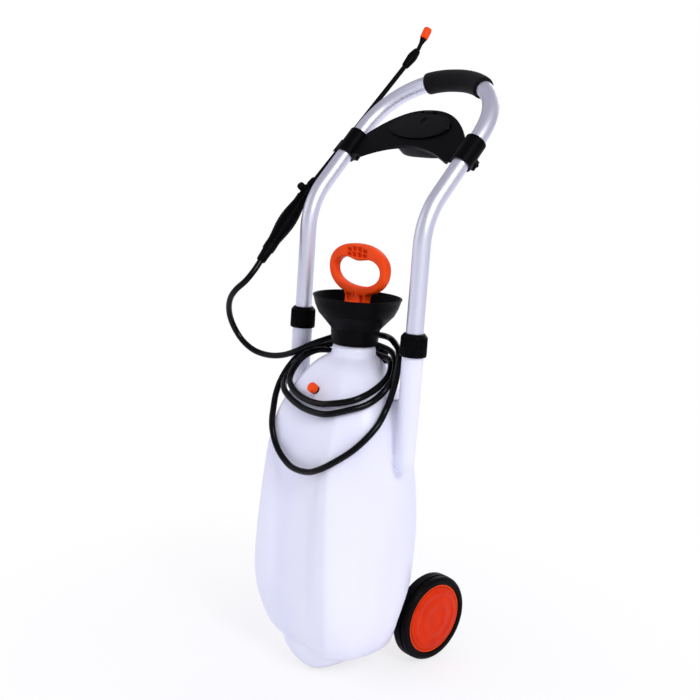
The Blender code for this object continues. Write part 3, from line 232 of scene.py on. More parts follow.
def combine(piece, others, how="UNION"):
    for other in others:
        step = piece.modifiers.new("join", "BOOLEAN")
        step.operation = how
        step.solver = "EXACT"
        step.object = other
    applied(piece)
    for other in others:
        bpy.data.objects.remove(other, do_unlink=True)
    return piece


def soften(piece, width, angle=32):
    edge = piece.modifiers.new("edges", "BEVEL")
    edge.width = width
    edge.segments = 2
    edge.limit_method = "ANGLE"
    edge.angle_limit = math.radians(angle)
    edge.harden_normals = True
    return applied(piece)


def setInput(modifier, tree, name, value):  # a modifier's input goes by its socket's identifier
    for item in tree.interface.items_tree:
        if item.item_type == "SOCKET" and item.in_out == "INPUT" and item.name == name:
            modifier[item.identifier] = value


def settle(piece, body, replaces=()):
    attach(piece, body)
    if replaces:
        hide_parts(*replaces)
    return piece


def grown(name, tree, values, body):  # a piece made wholly by a node tree
    piece = bpy.data.objects.new(name, bpy.data.meshes.new(name))
    bpy.context.scene.collection.objects.link(piece)
    step = piece.modifiers.new(name, "NODES")
    step.node_group = tree
    for key, value in values.items():
        setInput(step, tree, key, value)
    return settle(applied(piece), body)


# materials

def surface(name, colour, rough, metal=0.0, ior=None, shine=0.5):
    material = bpy.data.materials.new(name)
    material.use_nodes = True
    shader = material.node_tree.nodes["Principled BSDF"]
    values = {"Base Color": linear(colour), "Roughness": rough, "Metallic": metal,
              "Specular IOR Level": shine}
    if ior:
        values["IOR"] = ior
    for key, value in values.items():
        shader.inputs[key].default_value = value
    return material, material.node_tree, shader


def soak(tree, shader, weight, radius, scale):  # light goes in and comes out beside
    for key, value in (("Weight", weight), ("Radius", radius), ("Scale", scale)):
        shader.inputs["Subsurface " + key].default_value = value


def sheen(tree, shader, weight):
    shader.inputs["Sheen Weight"].default_value = weight


def cloud(tree, size, detail=2.0, stretch=(1, 1, 1)):  # noise with cells of the given size in metres
    where = addNode(tree, "ShaderNodeTexCoord")
    scaled = addNode(tree, "ShaderNodeMapping", values={"Scale": stretch},
                     links={"Vector": where.outputs["Object"]})
    return addNode(tree, "ShaderNodeTexNoise", values={"Scale": 1 / size, "Detail": detail},
                   links={"Vector": scaled.outputs["Vector"]})


def grain(tree, shader, size, depth, detail=2.0, stretch=(1, 1, 1)):  # bump, its size and depth in metres
    bump = addNode(tree, "ShaderNodeBump", values={"Distance": depth, "Strength": 1.0},
                   links={"Height": cloud(tree, size, detail, stretch).outputs["Fac"]})
    before = shader.inputs["Normal"].links
    if before:
        tree.links.new(before[0].from_socket, bump.inputs["Normal"])
    tree.links.new(bump.outputs["Normal"], shader.inputs["Normal"])


def drift(tree, shader, socket, noise, first, second):  # slow change between two values
    ramp = addNode(tree, "ShaderNodeValToRGB", links={"Fac": noise.outputs["Fac"]})
    for element, position, value in zip(ramp.color_ramp.elements, (0.35, 0.65), (first, second)):
        element.position = position
        element.color = value
    tree.links.new(ramp.outputs["Color"], shader.inputs[socket])


def rubbed(tree, shader, size, low, high, detail=2.0):  # roughness that drifts between low and high
    drift(tree, shader, "Roughness", cloud(tree, size, detail), (low, low, low, 1.0), (high, high, high, 1.0))


def tinted(tree, shader, size, first, second, detail=2.0, stretch=(1, 1, 1)):  # colour that drifts a little
    drift(tree, shader, "Base Color", cloud(tree, size, detail, stretch), linear(first), linear(second))


def finish(name, colour, rough, *steps, **more):  # a surface and what was done to it, step by step
    material, tree, shader = surface(name, colour, rough, **more)
    for step, *values in steps:
        step(tree, shader, *values)
    return material


# natural high-density polyethylene, blow-moulded: milky, light soaks in, skin slightly wavy from the mould,
# with 30 mm waves drawn out along the parison and a blasted mould skin of about 1 mm grain
milky = finish("blownPolyethylene", "F0EFFB", 0.36, (soak, 0.3, (1.0, 0.95, 1.1), 0.006),
               (grain, 0.03, 0.001, 1.0, (1, 1, 0.35)), (grain, 0.0011, 0.00003),
               (tinted, 0.09, "ECECFD", "F3F3FE", 1.0, (1, 1, 0.3)), ior=1.54)

# satin anodised drawn aluminium: white metal with a fine even frost, etched grain under the oxide
aluminium = finish("anodisedAluminium", "F0F0FA", 0.44, (rubbed, 0.0012, 0.43, 0.5, 3.0),
                   (grain, 0.0009, 0.00002, 3.0), metal=1.0)

# black polypropylene, injection-moulded, spark-eroded satin that gives hardly any glint
blackPlastic = finish("mouldedPolypropyleneBlack", "040405", 0.44, (grain, 0.0008, 0.00003),
                      (rubbed, 0.02, 0.37, 0.47), ior=1.49, shine=0.06)

# the same plastic from a polished cavity, as on the lid
blackGloss = finish("polishedPolypropyleneBlack", "040405", 0.22, (rubbed, 0.03, 0.17, 0.25), ior=1.49,
                    shine=0.1)

# closed-cell rubber foam: dull, with skinned pores
foam = finish("closedCellFoam", "0A0A0B", 0.72, (sheen, 0.06), (grain, 0.0012, 0.00016, 4.0), ior=1.45,
              shine=0.12)

# orange polypropylene, satin from the mould, the colour goes through it
orangePlastic = finish("mouldedPolypropyleneOrange", "F64A06", 0.44, (soak, 0.04, (1.0, 0.35, 0.1), 0.002),
                       (tinted, 0.025, "F24504", "FA4E09"), (grain, 0.0008, 0.00002), ior=1.49, shine=0.15)

# hub cap, gloss ABS with long soft waves of sink
orangeGloss = finish("glossAbsOrange", "DA2E02", 0.26, (grain, 0.035, 0.0004, 0.0),
                     (tinted, 0.03, "D52A01", "DF3203"), ior=1.53, shine=0.07)

# soft PVC tyre, moulded, matt and a little scuffed
tyreBlack = finish("mouldedPvcTyre", "040405", 0.46, (grain, 0.001, 0.00005, 3.0),
                   (rubbed, 0.012, 0.38, 0.52), ior=1.53, shine=0.07)

# extruded PVC hose, smooth with a wet-looking line of light
hoseBlack = finish("extrudedPvcHose", "040405", 0.15, (rubbed, 0.015, 0.12, 0.18), ior=1.53, shine=0.14)

# zinc-plated steel, bright with a faint blue cast
steelZinc = finish("zincPlatedSteel", "C4C7CC", 0.3, (rubbed, 0.004, 0.24, 0.38), metal=1.0)

# black oxide on the screws
steelDark = finish("blackenedSteel", "2A2A2D", 0.4, (grain, 0.001, 0.00003), metal=1.0)

# turned brass, with the lathe's fine rings across the axis
brass = finish("turnedBrass", "C9A25A", 0.3, (grain, 0.0006, 0.00003, 2.0, (0.1, 0.1, 8)), metal=1.0)

# undyed nylon, cream and waxy
nylon = finish("naturalNylon", "E4E0D2", 0.45, (grain, 0.001, 0.00002), ior=1.53)

# white acetal, colder and a little glossier
acetal = finish("whiteAcetal", "E8E8E6", 0.35, (grain, 0.001, 0.00002), ior=1.48)

# grey polypropylene, moulded satin
greyPlastic = finish("greyPolypropylene", "7A7B7E", 0.42, (grain, 0.001, 0.00003), ior=1.49)

# nitrile seals, moulded and dull
rubber = finish("mouldedNitrile", "161618", 0.68, (grain, 0.0008, 0.00004), ior=1.52)

# black powder paint, baked on the lance tube
tubePaint = finish("blackPowderPaint", "060607", 0.36, (grain, 0.0009, 0.00003, 3.0), ior=1.5, shine=0.08)

slotFinish = {
    "milky_plastic": milky, "satin_aluminium": aluminium, "soft_grip": foam, "black_plastic": blackPlastic,
    "natural_nylon": nylon, "dark_steel": steelDark, "gloss_black": blackGloss, "steel": steelZinc,
    "rubber": rubber, "grey_plastic": greyPlastic, "zinc_steel": steelZinc, "white_plastic": acetal,
    "orange_plastic": orangePlastic, "orange_gloss": orangeGloss, "brass": brass,
    "tyre_rubber": tyreBlack, "black_tube": tubePaint, "hose_black": hoseBlack,
}
for entry in frame["record"]["subparts"]:
    node = frame["nodes"][entry["node"]]
    node.data.materials.clear()
    node.data.materials.append(slotFinish[entry["material_slot"]])
print("materials ready:", len(slotFinish))


# pieces that stand for one node of the frame

def turned(name, profile, body, node, place=None, steps=64, angle=32, slot="black_plastic"):
    return settle(lathe(name, profile, slotFinish[slot], place, steps, angle), body, [node])


def fluted(name, profile, body, node, place, flutes, slot="black_plastic"):  # turned, with finger flutes
    count, at, radius, low = flutes
    knob = lathe(name, profile, slotFinish[slot], place, 72)
    cutters = []
    for a in turns(count):
        spot = place @ Matrix.Translation((at * math.cos(a), at * math.sin(a), 0))
        cutters.append(rod("flute", radius, low, low + fluteReach, slotFinish[slot], spot, 20))
    return settle(combine(knob, cutters, "DIFFERENCE"), body, [node])


def legOffset(side):  # from the middle to a leg of the handle
    return Vector((side * legSpacing / 2, 0, 0))


def legFrame(side):
    return Matrix.Translation(legOffset(side))


# camera, floor and light

view = {
    "around": 46.51, "distance": 1.5318, "height": 0.8008,   # degrees and metres, as the photograph was taken
    "yaw": 0.218, "down": 11.183, "roll": -3.95, "focal": 1045.4, "frame": 700, "sensor": 36,
}


def placeCamera():
    a = math.radians(view["around"])
    b = a + math.radians(view["yaw"])
    down = math.radians(view["down"])
    roll = math.radians(view["roll"])
    centre = Vector((view["distance"] * math.sin(a), -view["distance"] * math.cos(a), view["height"]))
    ahead = Vector((-math.sin(b) * math.cos(down), math.cos(b) * math.cos(down), -math.sin(down)))
    level = Vector((math.cos(b), math.sin(b), 0))
    upright = level.cross(ahead)
    right = level * math.cos(roll) - upright * math.sin(roll)
    up = upright * math.cos(roll) + level * math.sin(roll)
    camera = bpy.data.objects.new("camera", bpy.data.cameras.new("camera"))
    bpy.context.scene.collection.objects.link(camera)
    camera.data.sensor_width = view["sensor"]
    camera.data.lens = view["focal"] / view["frame"] * view["sensor"]
    turn = Matrix((right, up, -ahead)).transposed().to_4x4()
    camera.matrix_world = Matrix.Translation(centre) @ turn
    bpy.context.scene.camera = camera


studio = {
    "floorSide": 60.0, "floor": "FBFBFD", "walls": "EFEFFF", "world": 0.76, "mirrored": 0.45,
    "aim": (0, 0, 0.5), "nearShare": 0.72, "whiteFrom": 0.16, "whiteTo": 0.7,
}
softboxes = {  # place, side in metres, watts
    "keySoftbox": ((2.4, -0.6, 2.2), 0.8, 31.0),
    "fillSoftbox": ((-1.8, -2.0, 1.5), 1.6, 7.0),
    "rearSoftbox": ((-0.8, 2.4, 1.8), 1.4, 12.0),
}


def paleBackground():
    world = bpy.data.worlds.new("studio")
    world.use_nodes = True
    bpy.context.scene.world = world
    tree = world.node_tree
    base = tree.nodes["Background"]
    base.inputs["Color"].default_value = linear(studio["walls"])
    white = addNode(tree, "ShaderNodeBackground", values={"Color": (1, 1, 1, 1), "Strength": 1.0})
    path = addNode(tree, "ShaderNodeLightPath")
    dimmer = addNode(tree, "ShaderNodeMath", {"operation": "MULTIPLY_ADD"},  # reflections see a darker room
                     {1: studio["mirrored"] - studio["world"], 2: studio["world"]},
                     {0: path.outputs["Is Glossy Ray"]})
    tree.links.new(dimmer.outputs[0], base.inputs["Strength"])
    mix = addNode(tree, "ShaderNodeMixShader",
                  links={0: path.outputs["Is Camera Ray"], 1: base.outputs[0], 2: white.outputs[0]})
    tree.links.new(mix.outputs[0], tree.nodes["World Output"].inputs["Surface"])


def floorMaterial():  # matt paper sweep that lifts to plain white, so that only the shadow shows
    material, tree, shader = surface("paperSweep", studio["floor"], 0.9, shine=0.0)
    path = addNode(tree, "ShaderNodeLightPath")
    glow = addNode(tree, "ShaderNodeEmission", values={"Color": (1, 1, 1, 1), "Strength": 1.0})
    where = addNode(tree, "ShaderNodeTexCoord")
    away = addNode(tree, "ShaderNodeVectorMath", {"operation": "LENGTH"}, links={0: where.outputs["Object"]})
    spread = {"From Min": studio["whiteFrom"], "From Max": studio["whiteTo"],
              "To Min": studio["nearShare"], "To Max": 1.0}
    lift = addNode(tree, "ShaderNodeMapRange", values=spread, links={"Value": away.outputs["Value"]})
    share = addNode(tree, "ShaderNodeMath", {"operation": "MULTIPLY"},
                    links={0: path.outputs["Is Camera Ray"], 1: lift.outputs["Result"]})
    mix = addNode(tree, "ShaderNodeMixShader",
                  links={0: share.outputs[0], 1: shader.outputs[0], 2: glow.outputs[0]})
    tree.links.new(mix.outputs[0], tree.nodes["Material Output"].inputs["Surface"])
    return material


def softbox(name, place, side, watts):
    light = bpy.data.lights.new(name, "AREA")
    light.shape = "RECTANGLE"
    light.size = light.size_y = side
    light.energy = watts
    holder = bpy.data.objects.new(name, light)
    bpy.context.scene.collection.objects.link(holder)
    holder.matrix_world = frameAt(place, Vector(place) - Vector(studio["aim"]))


placeCamera()
paleBackground()
halfFloor = studio["floorSide"] / 2
sheet = bmesh.new()
corners = [(x * halfFloor, y * halfFloor, 0) for x, y in ((-1, -1), (1, -1), (1, 1), (-1, 1))]
sheet.faces.new([sheet.verts.new(corner) for corner in corners])
finishMesh("floor", sheet, floorMaterial())
for name, (place, side, watts) in softboxes.items():
    softbox(name, place, side, watts)
bpy.context.scene.view_settings.view_transform = "Standard"
print("camera, floor and light set")


# hose: its route in millimetres, three turns round the tank from the outlet, then out to the grip

hose = {"radius": 0.00475, "step": 0.004, "sides": 16, "cuts": 12, "inNut": 0.0177}
outletY, spoutZ = 0.062, 0.486
laneX = -0.155  # lane of grip and lance, beside the handle
gripEnd = Vector((laneX, -0.0636, 0.6138))
lanceLow = Vector((laneX, 0.0252, 0.7269))
lanceHigh = Vector((laneX, 0.2184, 0.9312))
gripAxis = (lanceLow - gripEnd).normalized()
hoseExit = Vector((-0.0248, outletY, spoutZ))
firstTurn = [
    (-36, 62, 486), (-52, 57.5, 483.5), (-66, 44, 480), (-70.5, 24, 481),
    (-70.5, 6, 485), (-73.5, -11, 484.5), (-77.5, -30, 476.5), (-76.5, -48, 462.5),
    (-66.8, -65, 448), (-43, -78.5, 439), (-17, -82.5, 432), (20, -84, 431),
    (49.6, -80.5, 437), (70, -61, 444), (76.5, -35, 453.5), (77, -10, 466.5),
    (73.5, 4, 476.5), (61, 19, 486), (40, 35, 489), (12, 45, 488),
]
secondTurn = [
    (-15, 45, 489.5), (-40, 40, 491.5), (-64, 30, 493), (-79, 17, 490.5),
    (-86, -3, 484), (-90.5, -22, 473.5), (-91.5, -40, 456), (-85, -59, 442),
    (-60, -79.5, 432), (-18.5, -87.5, 420.5), (24, -91, 419), (48, -88.8, 422),
    (68, -75.5, 429.5), (84, -46, 439.5), (87.2, -18, 455.5), (88, -3, 474),
    (77, 12, 492), (50, 31, 501), (10, 44, 503),
]
thirdTurn = [
    (-20, 44.5, 503), (-48, 40.5, 503.5), (-71, 34, 502.5), (-89, 21.5, 496.5),
    (-98, 2, 488.5), (-100.5, -16, 476.5), (-103.5, -34, 460), (-99, -54, 441),
    (-90, -70.5, 423.5), (-73.5, -88, 406.4), (-59.5, -100.5, 380), (-40, -104, 351.5),
    (-6.6, -105.5, 333.2), (36.5, -108.5, 336.3), (60, -108, 346.5), (79, -97, 361),
    (93.5, -73, 380.6), (101, -42, 409.3), (97.5, -21, 433), (99, -12, 458),
    (99, -6, 483), (88.5, 6, 510), (60.4, 22, 520), (30, 38, 521),
    (2, 44, 519),
]
leadOut = [
    (-26, 41, 518), (-48, 28, 515), (-60, 6, 506), (-74.5, -19, 495),
    (-91, -33, 483), (-116.5, -40, 471.5), (-145.2, -46, 466.3), (-174.2, -53, 469.5),
    (-196.8, -60, 482.6), (-208.4, -70, 504.9), (-204.2, -82, 527.4), (-188.5, -93, 551),
    (-170, -96, 569), (-158.5, -88, 583), (-155, -75.4, 598.8),
]


def smoothRoute(points, step):  # centripetal curve through the points, in even steps
    chain = [points[0] * 2 - points[1]] + points + [points[-1] * 2 - points[-2]]
    fine = []
    for p0, p1, p2, p3 in zip(chain, chain[1:], chain[2:], chain[3:]):
        t1 = (p1 - p0).length ** 0.5
        t2 = t1 + (p2 - p1).length ** 0.5
        t3 = t2 + (p3 - p2).length ** 0.5
        for k in range(hose["cuts"]):
            t = t1 + (t2 - t1) * k / hose["cuts"]
            a = p0.lerp(p1, t / t1)
            b = p1.lerp(p2, (t - t1) / (t2 - t1))
            c = p2.lerp(p3, (t - t2) / (t3 - t2))
            fine.append(a.lerp(b, t / t2).lerp(b.lerp(c, (t - t1) / (t3 - t1)), (t - t1) / (t2 - t1)))
    fine.append(points[-1])
    total = sum((b - a).length for a, b in zip(fine, fine[1:]))
    count = round(total / step)
    even, walked = [fine[0]], 0.0
    for a, b in zip(fine, fine[1:]):
        stretch = (b - a).length
        while len(even) < count and walked + stretch >= total * len(even) / count:
            even.append(a.lerp(b, (total * len(even) / count - walked) / stretch))
        walked += stretch
    even.append(fine[-1])
    return even, total


hoseWay = [hoseExit] + [Vector(p) for p in metres(firstTurn + secondTurn + thirdTurn + leadOut)]
hoseWay += [gripEnd, gripEnd + gripAxis * hose["inNut"]]
hosePath, hoseLength = smoothRoute(hoseWay, hose["step"])
hosePiece = sweep("hose", hosePath, hose["radius"], hose["sides"], hoseBlack)
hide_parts("hose_coil", "hose_lead")
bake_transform(hosePiece)
print(f"hose laid, {hoseLength:.3f} m")


# tank: blown in one skin over a channelled body, foot, posts and bosses

legSpacing = 0.2422
wheelY, wheelRadius = 0.128, 0.069
tankShape = {
    "channelHalf": 0.045, "channelSlope": 0.0095, "channelShare": 1.3, "footY": -0.019, "footPower": 2.6,
    "postRadius": 0.0156, "postTop": 0.5125, "postLow": 0.34, "spigot": 0.0146, "spigotHigh": 0.0175,
    "wellRadius": 0.088, "wellSide": 0.0565, "wellEnd": 0.2, "tunnel": 0.015, "neck": 0.03, "collar": 0.033,
    "voxel": 0.0024, "blend": 4,
}
reliefTilt = math.radians(34)
reliefFrame = frameAt((0, -0.07, 0.444), (0, -math.cos(reliefTilt), math.sin(reliefTilt)))
outletFrame = Matrix.Translation((0, outletY, 0))
# in millimetres: height, front y, half width of the front panel, half width of the body, its front and
# rear y, half width of the rear wall, rear y, depth of the front channel
stations = [
    (32, -49, 41.5, 64, -24, 23, 33.5, 88.5, 0),
    (36.2, -59.5, 50, 76, -28, 30, 38.5, 98.5, 0),
    (46.8, -70.5, 59.5, 86.5, -34, 37, 41.2, 106.5, 0),
    (66.5, -82, 70.5, 95.8, -40.2, 42.1, 42, 113.2, 0),
    (96, -92.5, 79.8, 102.4, -44.5, 45, 42, 118, 0),
    (130, -100, 86.5, 107, -48.5, 47, 42, 122, 3),
    (165, -102.8, 87.8, 108.6, -50, 48, 42, 124.5, 6),
    (210, -104, 85, 109.5, -50, 49, 42, 126, 6),
    (260, -103.5, 80.5, 109, -50, 45, 41, 122.5, 6),
    (310, -102, 75.5, 108.5, -49, 36, 39, 115, 5.5),
    (345, -99.5, 72.5, 107.8, -48, 28, 37, 108, 3),
    (375, -95, 69.5, 105.5, -46, 22, 35, 102, 0),
    (400, -88.5, 65.5, 101.5, -44, 18, 33, 95, 0),
    (420, -80.5, 60.5, 94.5, -40, 15, 31, 87, 0),
    (440, -70, 53, 85, -35, 14, 28, 76, 0),
    (458, -60.5, 44, 73.5, -29, 14, 24, 65.5, 0),
    (474, -51.5, 34, 59, -24, 13, 20, 53, 0),
    (484, -43, 24, 47, -19, 14, 18, 44, 0),
    (492, -33, 14, 33, -14, 14, 14, 33, 0),
]


def between(a, b, c, d, t):  # smooth value between b and c
    square, cube = 2 * a - 5 * b + 4 * c - d, 3 * b - a - 3 * c + d
    return 0.5 * (2 * b + (c - a) * t + square * t * t + cube * t * t * t)


def rounded(corners, shares, steps):
    count, points = len(corners), []
    for i in range(count):
        here = Vector(corners[i])
        start = here.lerp(Vector(corners[i - 1]), shares[i])
        end = here.lerp(Vector(corners[(i + 1) % count]), shares[i])
        for k in range(steps[i]):
            t = k / (steps[i] - 1)
            points.append(start.lerp(here, t).lerp(here.lerp(end, t), t))
    return points


def tankSection(station):
    z, frontY, frontHalf, half, sideFront, sideRear, rearHalf, rearY, channel = station
    flute = min(tankShape["channelHalf"], 0.62 * frontHalf)
    slope = min(tankShape["channelSlope"], 0.45 * (frontHalf - flute))
    right = [(flute - slope, frontY + channel * tankShape["channelShare"]), (flute + slope, frontY),
             (frontHalf, frontY), (half, sideFront), (half, sideRear), (rearHalf, rearY)]
    left = [(-x, y) for x, y in reversed(right)]
    shares = [0.3, 0.34, 0.34, 0.45, 0.42, 0.42]
    fine = [5, 5, 9, 12, 12, 12]
    return atHeight(rounded(right + left, shares + shares[::-1], fine + fine[::-1]), z)


def tankBody():
    rows = metres(stations)
    rings = []
    for i in range(len(rows) - 1):
        a, b, c, d = (rows[max(0, min(len(rows) - 1, j))] for j in (i - 1, i, i + 1, i + 2))
        for k in range(3):
            rings.append(tankSection([between(*four, k / 3) for four in zip(a, b, c, d)]))
    rings.append(tankSection(rows[-1]))
    body = loft("tankSkin", rings, milky)
    axle = frameAt((0, wheelY, wheelRadius), (1, 0, 0), (0, 0, 1))
    wells = []
    for side in (-1, 1):
        low, high = sorted((side * tankShape["wellSide"], side * tankShape["wellEnd"]))
        wells.append(rod("well", tankShape["wellRadius"], low, high, milky, axle))
    return combine(body, wells, "DIFFERENCE")


def tankFoot():  # rests on the ground in front of the wheels
    levels = ((0, 12, 25), (1, 15.5, 28.5), (4, 22.5, 34.5), (12, 36, 44), (22, 48.5, 51.5), (34, 58.5, 57),
              (46, 62, 59), (60, 56, 54))
    centre = (0, tankShape["footY"])
    rings = []
    for z, halfX, halfY in metres(levels):
        rings.append(atHeight(oval(halfX, halfY, 64, tankShape["footPower"], centre), z))
    return loft("foot", rings, milky)


def tankPosts():  # each takes a leg of the handle on its spigot, a web ties it to the shoulder
    made = []
    radius, spigot = tankShape["postRadius"], tankShape["spigot"]
    low, top = tankShape["postLow"], tankShape["postTop"]
    inner = legSpacing / 2 - 0.01
    tip = top + tankShape["spigotHigh"]
    for side in (-1, 1):
        shape = [(0, low), (0.009, low + 0.003), (0.0145, low + 0.018), (radius - 0.0004, low + 0.05),
                 (radius, top), (spigot, top), (spigot, tip), (0, tip)]
        made.append(lathe("post", shape, milky, legFrame(side)))
        web = ((0.07, 0.36), (inner, 0.36), (inner, 0.448), (0.088, 0.442), (0.07, 0.45))
        made.append(prism("web", [(side * x, z) for x, z in web], 0, 0.012, milky,
                          frameAt((0, 0.006, 0), (0, -1, 0))))
    return made


def tankFittings():
    neck, collar, half = tankShape["neck"], tankShape["collar"], tankShape["wellSide"]
    tunnel = []
    for step in range(-100, 99, 11):
        a = math.radians(step)
        reach = Vector((math.cos(a), math.sin(a))) * tankShape["tunnel"]
        tunnel.append((wheelY + reach.x, wheelRadius + reach.y))
    tunnel += [(0.1, 0.115), (0.09, 0.056)]
    throat = [(0, 0.48), (collar, 0.48), (collar, 0.5035), (neck, 0.5035), (neck, 0.5355), (0, 0.5355)]
    return [
        lathe("neck", throat, milky),
        rod("reliefBoss", 0.0085, -0.01, 0.0008, milky, reliefFrame),
        rod("outletBoss", 0.012, 0.435, 0.474, milky, outletFrame),
        loft("tunnel", [[(x, y, z) for y, z in tunnel] for x in (-half, half)], milky),
    ]


def melt(piece, parts):  # shells run together as a blow-moulded skin does, with soft inner corners
    bm = bmesh.new()
    for part in [piece] + parts:
        bm.from_mesh(part.data)
    for part in parts:
        bpy.data.objects.remove(part, do_unlink=True)
    bm.to_mesh(piece.data)
    bm.free()
    skin = piece.modifiers.new("skin", "REMESH")
    skin.mode = "VOXEL"
    skin.voxel_size = tankShape["voxel"]
    skin.use_smooth_shade = True
    relax = piece.modifiers.new("relax", "SMOOTH")
    relax.factor = 0.5
    relax.iterations = tankShape["blend"]
    applied(piece)
    piece.data.materials.clear()
    piece.data.materials.append(milky)
    piece.data.shade_smooth()
    return piece


tankPiece = melt(tankBody(), [tankFoot()] + tankPosts() + tankFittings())
tankPiece.name = "tankShell"
settle(tankPiece, "cart", ["tank"])
print("tank blown:", len(tankPiece.data.polygons), "faces")


# handle: bent tube, sleeve and collar nuts

handleShape = {
    "tube": 0.0125, "bore": 0.011, "legBottom": 0.42, "bendStart": 0.6672, "bendRadius": 0.1055,
    "lean": 41.1, "slopeLength": 0.1036, "archHeight": 0.1195, "archPower": 2.24, "sides": 40,
}
lean = math.radians(handleShape["lean"])
slope = Vector((0, math.sin(lean), math.cos(lean)))
face = Vector((0, -math.cos(lean), math.sin(lean)))
slopeStart = Vector((0, handleShape["bendRadius"] * (1 - math.cos(lean)),
                     handleShape["bendStart"] + handleShape["bendRadius"] * math.sin(lean)))


def archPoint(x):
    power = handleShape["archPower"]
    share = max(0.0, 1 - (abs(x) / (legSpacing / 2)) ** power)
    return Vector((x, 0, 0)) + slopeStart + slope * (handleShape["slopeLength"]
                                                     + handleShape["archHeight"] * share ** (1 / power))


def handleSide(side):
    x = side * legSpacing / 2
    low, start, radius = handleShape["legBottom"], handleShape["bendStart"], handleShape["bendRadius"]
    points = [Vector((x, 0, low + (start - low) * k / 6)) for k in range(7)]
    points += [Vector((x, radius * (1 - math.cos(lean * k / 16)), start + radius * math.sin(lean * k / 16)))
               for k in range(1, 17)]
    points += [points[-1] + slope * handleShape["slopeLength"] * k / 4 for k in range(1, 5)]
    power = handleShape["archPower"]
    for k in range(1, 29):
        a = math.pi / 2 * k / 28
        points.append(slopeStart + Vector((x * max(0.0, math.cos(a)) ** (2 / power), 0, 0)) + slope * (
            handleShape["slopeLength"] + handleShape["archHeight"] * math.sin(a) ** (2 / power)))
    return points


handlePath = handleSide(-1) + handleSide(1)[-2::-1]
tubePiece = sweep("bentTube", handlePath, handleShape["tube"], handleShape["sides"], aluminium,
                  handleShape["bore"])
settle(tubePiece, "handle", ["handle_tube"])

sleeveShape = {"from": -0.052, "to": 0.07, "radius": 0.0168, "lip": 0.005, "drop": 0.004, "rings": 60}
sleeveLength = sleeveShape["to"] - sleeveShape["from"]
sleevePoints, sleeveRadii = [], []
for k in range(sleeveShape["rings"] + 1):
    share = k / sleeveShape["rings"]
    roundOff = 1 - min(1.0, min(share, 1 - share) * sleeveLength / sleeveShape["lip"])
    sleevePoints.append(archPoint(sleeveShape["from"] + sleeveLength * share))
    sleeveRadii.append(sleeveShape["radius"] - sleeveShape["drop"] * (1 - math.sqrt(1 - roundOff ** 2)))
sleevePiece = sweep("gripSleeve", sleevePoints, sleeveRadii, handleShape["sides"], foam, angle=40)
settle(sleevePiece, "handle", ["grip_sleeve"])


def ribRing():  # upright ribs standing round an axis: each an instance of one tapered rod
    tree = bpy.data.node_groups.new("ribRing", "GeometryNodeTree")
    kinds = {"Count": "Int", "Ring Radius": "Float", "Rib Radius": "Float", "Height": "Float",
             "Material": "Material", "At": "Vector"}
    for label, kind in kinds.items():
        tree.interface.new_socket(name=label, in_out="INPUT", socket_type="NodeSocket" + kind)
    tree.interface.new_socket(name="Geometry", in_out="OUTPUT", socket_type="NodeSocketGeometry")
    given = tree.nodes.new("NodeGroupInput").outputs
    circle = addNode(tree, "GeometryNodeMeshCircle",
                     links={"Vertices": given["Count"], "Radius": given["Ring Radius"]})
    top = addNode(tree, "ShaderNodeMath", {"operation": "MULTIPLY"}, {1: nutShape["taper"]},
                  {0: given["Rib Radius"]})
    rib = addNode(tree, "GeometryNodeMeshCone", values={"Vertices": nutShape["ribSides"]}, links={
        "Radius Bottom": given["Rib Radius"], "Radius Top": top.outputs[0], "Depth": given["Height"]})
    smooth = addNode(tree, "GeometryNodeSetShadeSmooth", links={"Geometry": rib.outputs["Mesh"]})
    ribs = addNode(tree, "GeometryNodeInstanceOnPoints",
                   links={"Points": circle.outputs["Mesh"], "Instance": smooth.outputs["Geometry"]})
    real = addNode(tree, "GeometryNodeRealizeInstances", links={"Geometry": ribs.outputs["Instances"]})
    moved = addNode(tree, "GeometryNodeTransform",
                    links={"Geometry": real.outputs["Geometry"], "Translation": given["At"]})
    dressed = addNode(tree, "GeometryNodeSetMaterial",
                      links={"Geometry": moved.outputs["Geometry"], "Material": given["Material"]})
    end = tree.nodes.new("NodeGroupOutput")
    tree.links.new(dressed.outputs["Geometry"], end.inputs["Geometry"])
    return tree


nutShape = {"ribs": 34, "ring": 0.0183, "rib": 0.0011, "taper": 0.75, "ribSides": 10, "low": 0.5168,
            "high": 0.5402, "corner": 0.0006}
nutSkin = [(15.6, 513), (18.9, 513), (19.4, 515), (19.2, 516.6), (18.6, 517.2), (18.1, 540), (18.7, 540.6),
           (18.4, 541.4), (15, 545.5), (13, 545.5)]
nutInside = [(13, 542), (15.6, 539.5)]
ribTree = ribRing()
nutOutline = softProfile(metres(nutSkin), nutShape["corner"]) + metres(nutInside)
for side, word in bothSides:
    turned(f"collarNut_{word}", nutOutline, f"nut_{word}", f"collar_nut_{word}", legFrame(side))
    grown(f"collarRibs_{word}", ribTree, {
        "Count": nutShape["ribs"], "Ring Radius": nutShape["ring"], "Rib Radius": nutShape["rib"],
        "Height": nutShape["high"] - nutShape["low"], "At": (side * legSpacing / 2, 0.0, nutShape["low"]),
        "Material": blackPlastic}, f"nut_{word}")
print("handle tube, sleeve and collar nuts made")


# tray on the slope, with split clamps, lid and bin

trayFrame = frameAt(slopeStart, face)
trayShape = {
    "top": 0.0035, "clampLow": 0.06, "clampHigh": 0.104, "clampRadius": 0.016, "clampBore": 0.0131,
    "slit": 0.0012, "earEnd": 0.006, "screwUp": 0.077, "screwBack": 0.0193, "edgeSteps": 48, "lidY": 0.1235,
    "lidHalfX": 0.06, "lidHalfY": 0.025, "binY": 0.12, "binHalfX": 0.054, "binHalfY": 0.0265,
}


